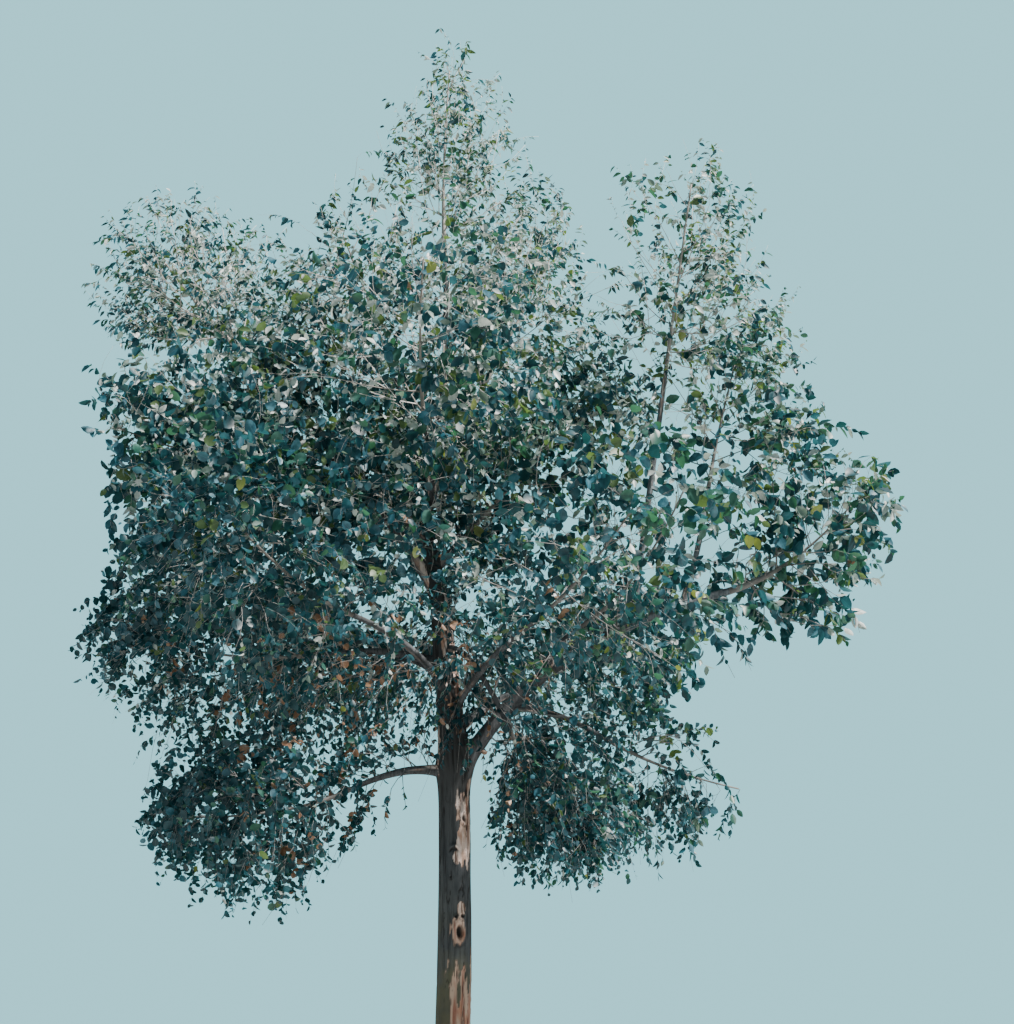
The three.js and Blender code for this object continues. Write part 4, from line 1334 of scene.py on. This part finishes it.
weights = leaf_weights(leaves)
strays = chance(leaves["key"], 33) < STRAY_SHARE
leaf_kind = np.where(strays, picked(weights, chance(leaves["key"], 32)),
                     picked(weights, chance(leaves["spray"], 31)))
young = np.isin(leaf_kind, [KIND_NAMES.index(label) for label in YOUNG_KINDS])
leaves["slim"] = np.where(young, np.maximum(leaves["slim"], YOUNG_SLIM), leaves["slim"])
leaves["length"] = leaves["length"] * np.where(young, YOUNG_SIZE, 1)
leaves["width"] = leaves["length"] * lerp(ROUND_LEAF["ratio"], SLIM_LEAF["ratio"], leaves["slim"])
print("leaf kinds:", dict(zip(KIND_NAMES, np.bincount(leaf_kind).tolist())))

# %% [markdown]
# A leaf's finish has three parts. Its face is waxy, with a bloom that is thick in some
# places and rubbed off in others. A pale vein runs down its middle, found from the UV map.
# And it is thin, so the sun behind it makes it glow, which a Translucent shader mixed with
# the Principled one gives without making it see-through.

# %% Leaf materials
LEAF_GLOW = 0.28
MOST_LEAVES = 16000
VEIN_HALF_WIDTH = 0.035


def make_leaf(name, face, bloom, glow):
    """Waxy face with bloom and a pale middle vein, and a glow from behind."""
    material, tree, shader, place = new_material(name, 0.42)
    colour = coated(tree, place, face, (bloom, 26.0, 0.55, 0.14, EVEN))
    uv = tree.nodes.new("ShaderNodeTexCoord").outputs["UV"]
    split = add(tree, "SeparateXYZ", Vector=uv)
    off_middle = add(tree, "Math", {"operation": "SUBTRACT"}, n0=split.outputs["X"], n1=0.5)
    distance = add(tree, "Math", {"operation": "ABSOLUTE"}, n0=off_middle.outputs[0])
    vein = add(tree, "MapRange", Value=distance.outputs[0], From_Min=VEIN_HALF_WIDTH,
               From_Max=0.0, To_Max=0.5)
    colour = mix_colours(tree, vein.outputs["Result"], colour, bloom)
    feed(tree, shader.inputs["Base Color"], colour)
    shader.inputs["Specular IOR Level"].default_value = 0.55
    behind = add(tree, "BsdfTranslucent", Color=glow)
    both = add(tree, "MixShader", n0=LEAF_GLOW, n1=shader.outputs[0], n2=behind.outputs[0])
    tree.links.new(both.outputs[0], tree.nodes["Material Output"].inputs["Surface"])
    return material


leaf_pieces = []
for number, label in enumerate(KIND_NAMES):
    material = make_leaf("leaf_" + label, *LEAF_KINDS[label])
    chosen = np.flatnonzero(leaf_kind == number)
    for part, some in enumerate(np.array_split(chosen, len(chosen) // MOST_LEAVES + 1), start=1):
        points, faces, uv = leaf_surface(only(leaves, some))
        name = f"leaves_{label}_{part}"
        leaf_pieces.append(make_piece(name, points, faces, material, uv=uv))
for piece in leaf_pieces + twig_pieces:
    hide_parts(*["foliage_" + name for name in NAMES])

# %% [markdown]
# ## Pot
#
# A thrown clay pot is a profile turned round its axis. The profile is the frame's, with
# its corners rounded, and the surface has what hands and weather leave: faint throwing
# rings and a slightly uneven wall. Fired clay is two near oranges with chalky bloom in
# soft patches, dark specks, and it is darker towards the bottom.

# %% Lathe


def rounded(profile, corner_radii, steps=6):
    """A profile whose corners are replaced by bends: for each inner point, a three-point
    bend between the places one corner radius before and after it."""
    profile = np.asarray(profile, float)
    made = [profile[:1]]
    for before, here, after, reach in zip(profile, profile[1:], profile[2:], corner_radii):
        reach = min(reach, *(np.linalg.norm(p - here) * 0.5 for p in (before, after)))
        corner = here + unit(before - here) * reach, here, here + unit(after - here) * reach
        made.append(bend_point(np.array(corner), np.linspace(0, 1, steps)))
    return np.concatenate([*made, profile[-1:]])


def refined(profile, longest):
    """The profile with points added so that no step is longer than `longest`."""
    made = [profile[:1]]
    for start, end in zip(profile[:-1], profile[1:]):
        count = max(1, int(np.ceil(np.linalg.norm(end - start) / longest)))
        made.append(lerp(start, end, np.arange(1, count + 1)[:, None] / count))
    return np.concatenate(made)


def lathe(profile, sides, relief):
    """A closed surface of revolution for a profile (r, z) that runs up the outside from the
    axis and back to it. relief(share of a turn, r, z) gives r and z with the relief."""
    inner = profile[1:-1]
    share = np.arange(sides) / sides
    radius, height = relief(share[None], inner[:, :1], inner[:, 1:])
    rings = polar(radius, 2 * np.pi * share, height)
    poles = np.array([[0, 0, profile[0, 1]], [0, 0, profile[-1, 1]]])
    points = np.concatenate([rings.reshape(-1, 3), poles])
    quads, _ = ring_faces(1, len(inner), sides)
    first = np.arange(sides)
    last = first + (len(inner) - 1) * sides
    under, top = len(points) - 2, len(points) - 1
    fans = np.concatenate([
        np.stack([np.roll(first, -1), first, np.full(sides, under)], axis=1),
        np.stack([last, np.roll(last, -1), np.full(sides, top)], axis=1),
    ])
    return points, [quads, fans]


# %% [markdown]
# The profile runs along the underside, up the wall and over the rim, then down the inside
# and back to the axis, so the pot comes out closed and hollow.

# %% Pot
pot_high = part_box("pot")[1]
POT_TOP = pot_high.z
RIM_RADIUS = pot_high.x
FOOT_RADIUS = 0.320
MOUTH_RADIUS = 0.425
RIM_HEIGHT = 0.084
WALL = 0.030
FLOOR = 0.036
DRAIN = {"count": 3, "radius": 0.020, "distance": 0.170}
POT_SIDES = 144
RING_RELIEF = 0.0009
RING_STEP = 0.046
WALL_WANDER = 0.0022
DENT_DEPTH = 0.0016
INSET = 0.0016


def wall_radius(height):
    """Outer radius of the pot's wall: straight from the foot to the mouth."""
    return lerp(FOOT_RADIUS, MOUTH_RADIUS, height / POT_TOP)


rim_foot = POT_TOP - RIM_HEIGHT
pot_profile = rounded([
    (0, 0),
    (FOOT_RADIUS, 0),
    (wall_radius(rim_foot), rim_foot),
    (RIM_RADIUS, rim_foot + 0.006),
    (RIM_RADIUS, POT_TOP),
    (MOUTH_RADIUS - WALL, POT_TOP),
    (wall_radius(FLOOR) - WALL, FLOOR),
    (0, FLOOR),
], [0.010, 0.006, 0.012, 0.022, 0.012, 0.030])


def pot_relief(share, radius, height):
    """Throwing rings, a wandering wall and small dents, at most about 2 mm. All of it fades
    out near the axis."""
    shaken = 0.8 * cloud(share * 3, height * 5, 3, 51)
    rings = RING_RELIEF * np.sin(2 * np.pi * (height / RING_STEP + shaken))
    wander = WALL_WANDER * (cloud(share * 4, height * 4, 4, 52) - 0.5)
    dents = -DENT_DEPTH * smooth_step(0.74, 0.9, cloud(share * 60, height * 24, 60, 53))
    fade = smooth_step(0.05, 0.2, radius)
    return radius + (rings + wander + dents) * fade - INSET * fade, height


points, faces = lathe(refined(pot_profile, 0.012), POT_SIDES, pot_relief)
clay = make_finish(
    "fired_clay", 0.86, (0.46, 0.175, 0.085), ((0.56, 0.245, 0.130), 5.0, 0.5, 0.2, EVEN),
    ((0.64, 0.45, 0.34), 3.2, 0.60, 0.13, (1, 1, 1.8)),
    ((0.20, 0.085, 0.05), 90.0, 0.68, 0.02, EVEN),
    shade=((0.22, 0.12, 0.075), UP, 0.16, 0.01, 0.55), grit=(220.0, 5.0, 0.0012, 0.6))
pot = make_piece("pot_clay", points, faces, clay)
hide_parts("pot")

# %% [markdown]
# The three drain holes don't lie on the axis, so they can't be part of the profile. They
# are cut with a Boolean modifier, whose result is then kept as the pot's own mesh.

# %% Drain holes
hole_turn = 2 * np.pi * np.arange(DRAIN["count"]) / DRAIN["count"]
hole_ends = UP * np.array([[-0.02], [FLOOR + 0.02]])
hole_line = polar(DRAIN["distance"], hole_turn)[:, None] + hole_ends
hole_points, hole_faces = tubes(hole_line, np.full((DRAIN["count"], 2), DRAIN["radius"]), 24)
cutter_mesh = bpy.data.meshes.new("drills")
hole_faces = [face for same_kind in hole_faces for face in same_kind.tolist()]
cutter_mesh.from_pydata(hole_points.tolist(), [], hole_faces)
cutter = new_object("drills", cutter_mesh)
drill = pot.modifiers.new("drill", "BOOLEAN")
drill.operation = "DIFFERENCE"
drill.object = cutter
drill.solver = "EXACT"
depsgraph = bpy.context.evaluated_depsgraph_get()
drilled = bpy.data.meshes.new_from_object(pot.evaluated_get(depsgraph))
pot.modifiers.clear()
pot.data = drilled
bpy.data.objects.remove(cutter)
print("pot: drilled,", len(pot.data.polygons), "faces")

# %% [markdown]
# ## Soil
#
# Potting soil is a dark, crumbly surface that rises a little to the trunk. The surface
# itself carries the large bumps, and about two thousand crumbs and flakes of bark lie on
# it, each a small lump of twenty faces.

# %% Soil
SOIL_TOP = 0.620
SOIL_FALL = 0.022
SOIL_GAP = 0.0006
SOIL_SIDES = 160
NEVER_REPEATS = 10**6
soil_low, soil_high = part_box("soil")
edge_height = SOIL_TOP - SOIL_FALL
soil_radius = soil_high.x
soil_foot = soil_low.z


def soil_height(radius, turn):
    """The mound: level near the trunk, falling to the edge, with crumbly bumps."""
    x, y, _ = np.moveaxis(polar(radius, turn), -1, 0)
    mound = lerp(SOIL_TOP, edge_height, smooth_step(0.12, soil_radius, radius))
    bumps = 0.010 * (cloud(x * 22 + 40, y * 22 + 40, NEVER_REPEATS, 61) - 0.6)
    bumps += 0.006 * (cloud(x * 70 + 90, y * 70 + 90, NEVER_REPEATS, 62) - 0.5)
    return mound + bumps


def soil_relief(share, radius, height):
    """Bumps on the top only: the wall and the underside keep the profile's height."""
    is_top = (height > edge_height - 0.001) & (radius < soil_radius - 0.002)
    top = soil_height(radius, 2 * np.pi * share)
    return radius + 0 * share, np.where(is_top, top, height)


foot_radius = wall_radius(FLOOR) - WALL - 2 * SOIL_GAP
soil_profile = refined(np.array([
    (0, soil_foot), (foot_radius, soil_foot), (soil_radius, edge_height), (0, SOIL_TOP)]), 0.009)
points, faces = lathe(soil_profile, SOIL_SIDES, soil_relief)
soil_material = make_finish(
    "compost", 0.95, (0.030, 0.019, 0.012), ((0.085, 0.056, 0.036), 38.0, 0.5, 0.1, EVEN),
    ((0.30, 0.26, 0.20), 150.0, 0.71, 0.02, EVEN), grit=(130.0, 6.0, 0.004, 0.8))
soil = make_piece("soil_bed", points, faces, soil_material)
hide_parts("soil")

# %% [markdown]
# All the crumbs are one array of crumb, corner and axis. Each has its corners pushed in or
# out, is squashed and turned, and is then set down on the mound.

# %% Crumbs
GOLDEN = (1 + 5**0.5) / 2
CRUMBS = 2200
CRUMB_SIZES = (0.0022, 0.0097)
FLAKES = 0.22
LUMPINESS = 0.22


def lump_shape():
    """The twelve corners and twenty faces of an icosahedron of radius 1."""
    corners = np.array([(a, b, 0) for a in (-1, 1) for b in (-GOLDEN, GOLDEN)], float)
    corners = np.concatenate([corners, np.roll(corners, 1, axis=1), np.roll(corners, 2, axis=1)])
    near = np.isclose(np.linalg.norm(corners[:, None] - corners, axis=2), 2)
    faces = np.array([(i, j, k) for i, j, k in combinations(range(12), 3)
                      if near[i, j] and near[j, k] and near[i, k]])
    first, second, third = np.moveaxis(corners[faces], 1, 0)
    outwards = (np.cross(second - first, third - first) * first).sum(axis=1) > 0
    return unit(corners), np.where(outwards[:, None], faces, faces[:, ::-1])


lump, lump_faces = lump_shape()
crumb = np.arange(CRUMBS)
crumb_turn = 2 * np.pi * chance(crumb, 71)
crumb_radius = lerp(0.075, soil_radius - 0.012, np.sqrt(chance(crumb, 72)))
crumb_size = lerp(*CRUMB_SIZES, chance(crumb, 73) ** 3)
crumb_height = soil_height(crumb_radius, crumb_turn) + 0.3 * crumb_size
wide, tall = lerp(0.45, 1, chance(crumb, 74)), lerp(0.3, 0.8, chance(crumb, 75))
squash = np.stack([np.ones(CRUMBS), wide, tall], axis=1) * crumb_size[:, None]
body = lump * (1 + LUMPINESS * jitter(crumb[:, None], np.arange(12), 76))[..., None]
x, y, z = np.moveaxis(body * squash[:, None], -1, 0)
cosine, sine = np.cos(crumb_turn * 7)[:, None], np.sin(crumb_turn * 7)[:, None]
body = np.stack([cosine * x - sine * y, sine * x + cosine * y, z], axis=-1)
points = (body + polar(crumb_radius, crumb_turn, crumb_height)[:, None]).reshape(-1, 3)
faces = lump_faces[None] + 12 * crumb[:, None, None]
is_flake = chance(crumb, 77) < FLAKES


def crumb_piece(name, chosen, material):
    """One mesh of the chosen crumbs."""
    used, kept = np.unique(faces[chosen], return_inverse=True)
    kept = kept.reshape(-1, 3)
    piece = make_piece(name, points[used], [kept], material, smooth=False)
    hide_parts("soil")


flake_bark = make_finish(
    "flake_bark", 0.9, (0.16, 0.085, 0.045), ((0.34, 0.21, 0.12), 60.0, 0.5, 0.2, EVEN))
crumb_piece("soil_crumbs", ~is_flake, soil_material)
crumb_piece("bark_flakes", is_flake, flake_bark)

# %% [markdown]
# ## Studio
#
# A grey floor, a pale blue surround like an even sky, and one warm light from the upper
# right. The surround lights the shaded leaves and gives them their teal. The viewer sees it
# brighter than it lights the tree, as a backdrop against which thin twigs still show.

# %% Floor, surround and light
FLOOR_RADIUS = 30.0
FLOOR_SIDES = 180
floor_mesh = bpy.data.meshes.new("floor")
floor_angle = np.linspace(0, 2 * np.pi, FLOOR_SIDES, endpoint=False)
floor_mesh.from_pydata(polar(FLOOR_RADIUS, floor_angle).tolist(), [], [range(FLOOR_SIDES)])
floor_mesh.materials.append(make_finish("floor", 0.9, (0.37, 0.38, 0.37)))
new_object("floor", floor_mesh)

world = bpy.data.worlds.new("surround")
world.use_nodes = True
surround = world.node_tree
even_light = surround.nodes["Background"]
feed(surround, even_light.inputs["Color"], (0.30, 0.48, 0.56))
feed(surround, even_light.inputs["Strength"], 0.55)
backdrop = add(surround, "Background", Color=(0.40, 0.90, 1.00), Strength=1.15)
seen = add(surround, "LightPath").outputs["Is Camera Ray"]
both = add(surround, "MixShader", n0=seen, n1=even_light.outputs[0], n2=backdrop.outputs[0])
surround.links.new(both.outputs[0], surround.nodes["World Output"].inputs["Surface"])
bpy.context.scene.world = world

sun_data = bpy.data.lights.new("key_light", "SUN")
sun_data.energy = 11.0
sun_data.angle = np.radians(3)
sun_data.color = (1.0, 0.96, 0.90)
sun = new_object("key_light", sun_data)
sun.rotation_euler = Vector(SUN_WAY).to_track_quat("Z", "Y").to_euler()
print("studio: floor, surround and key light")
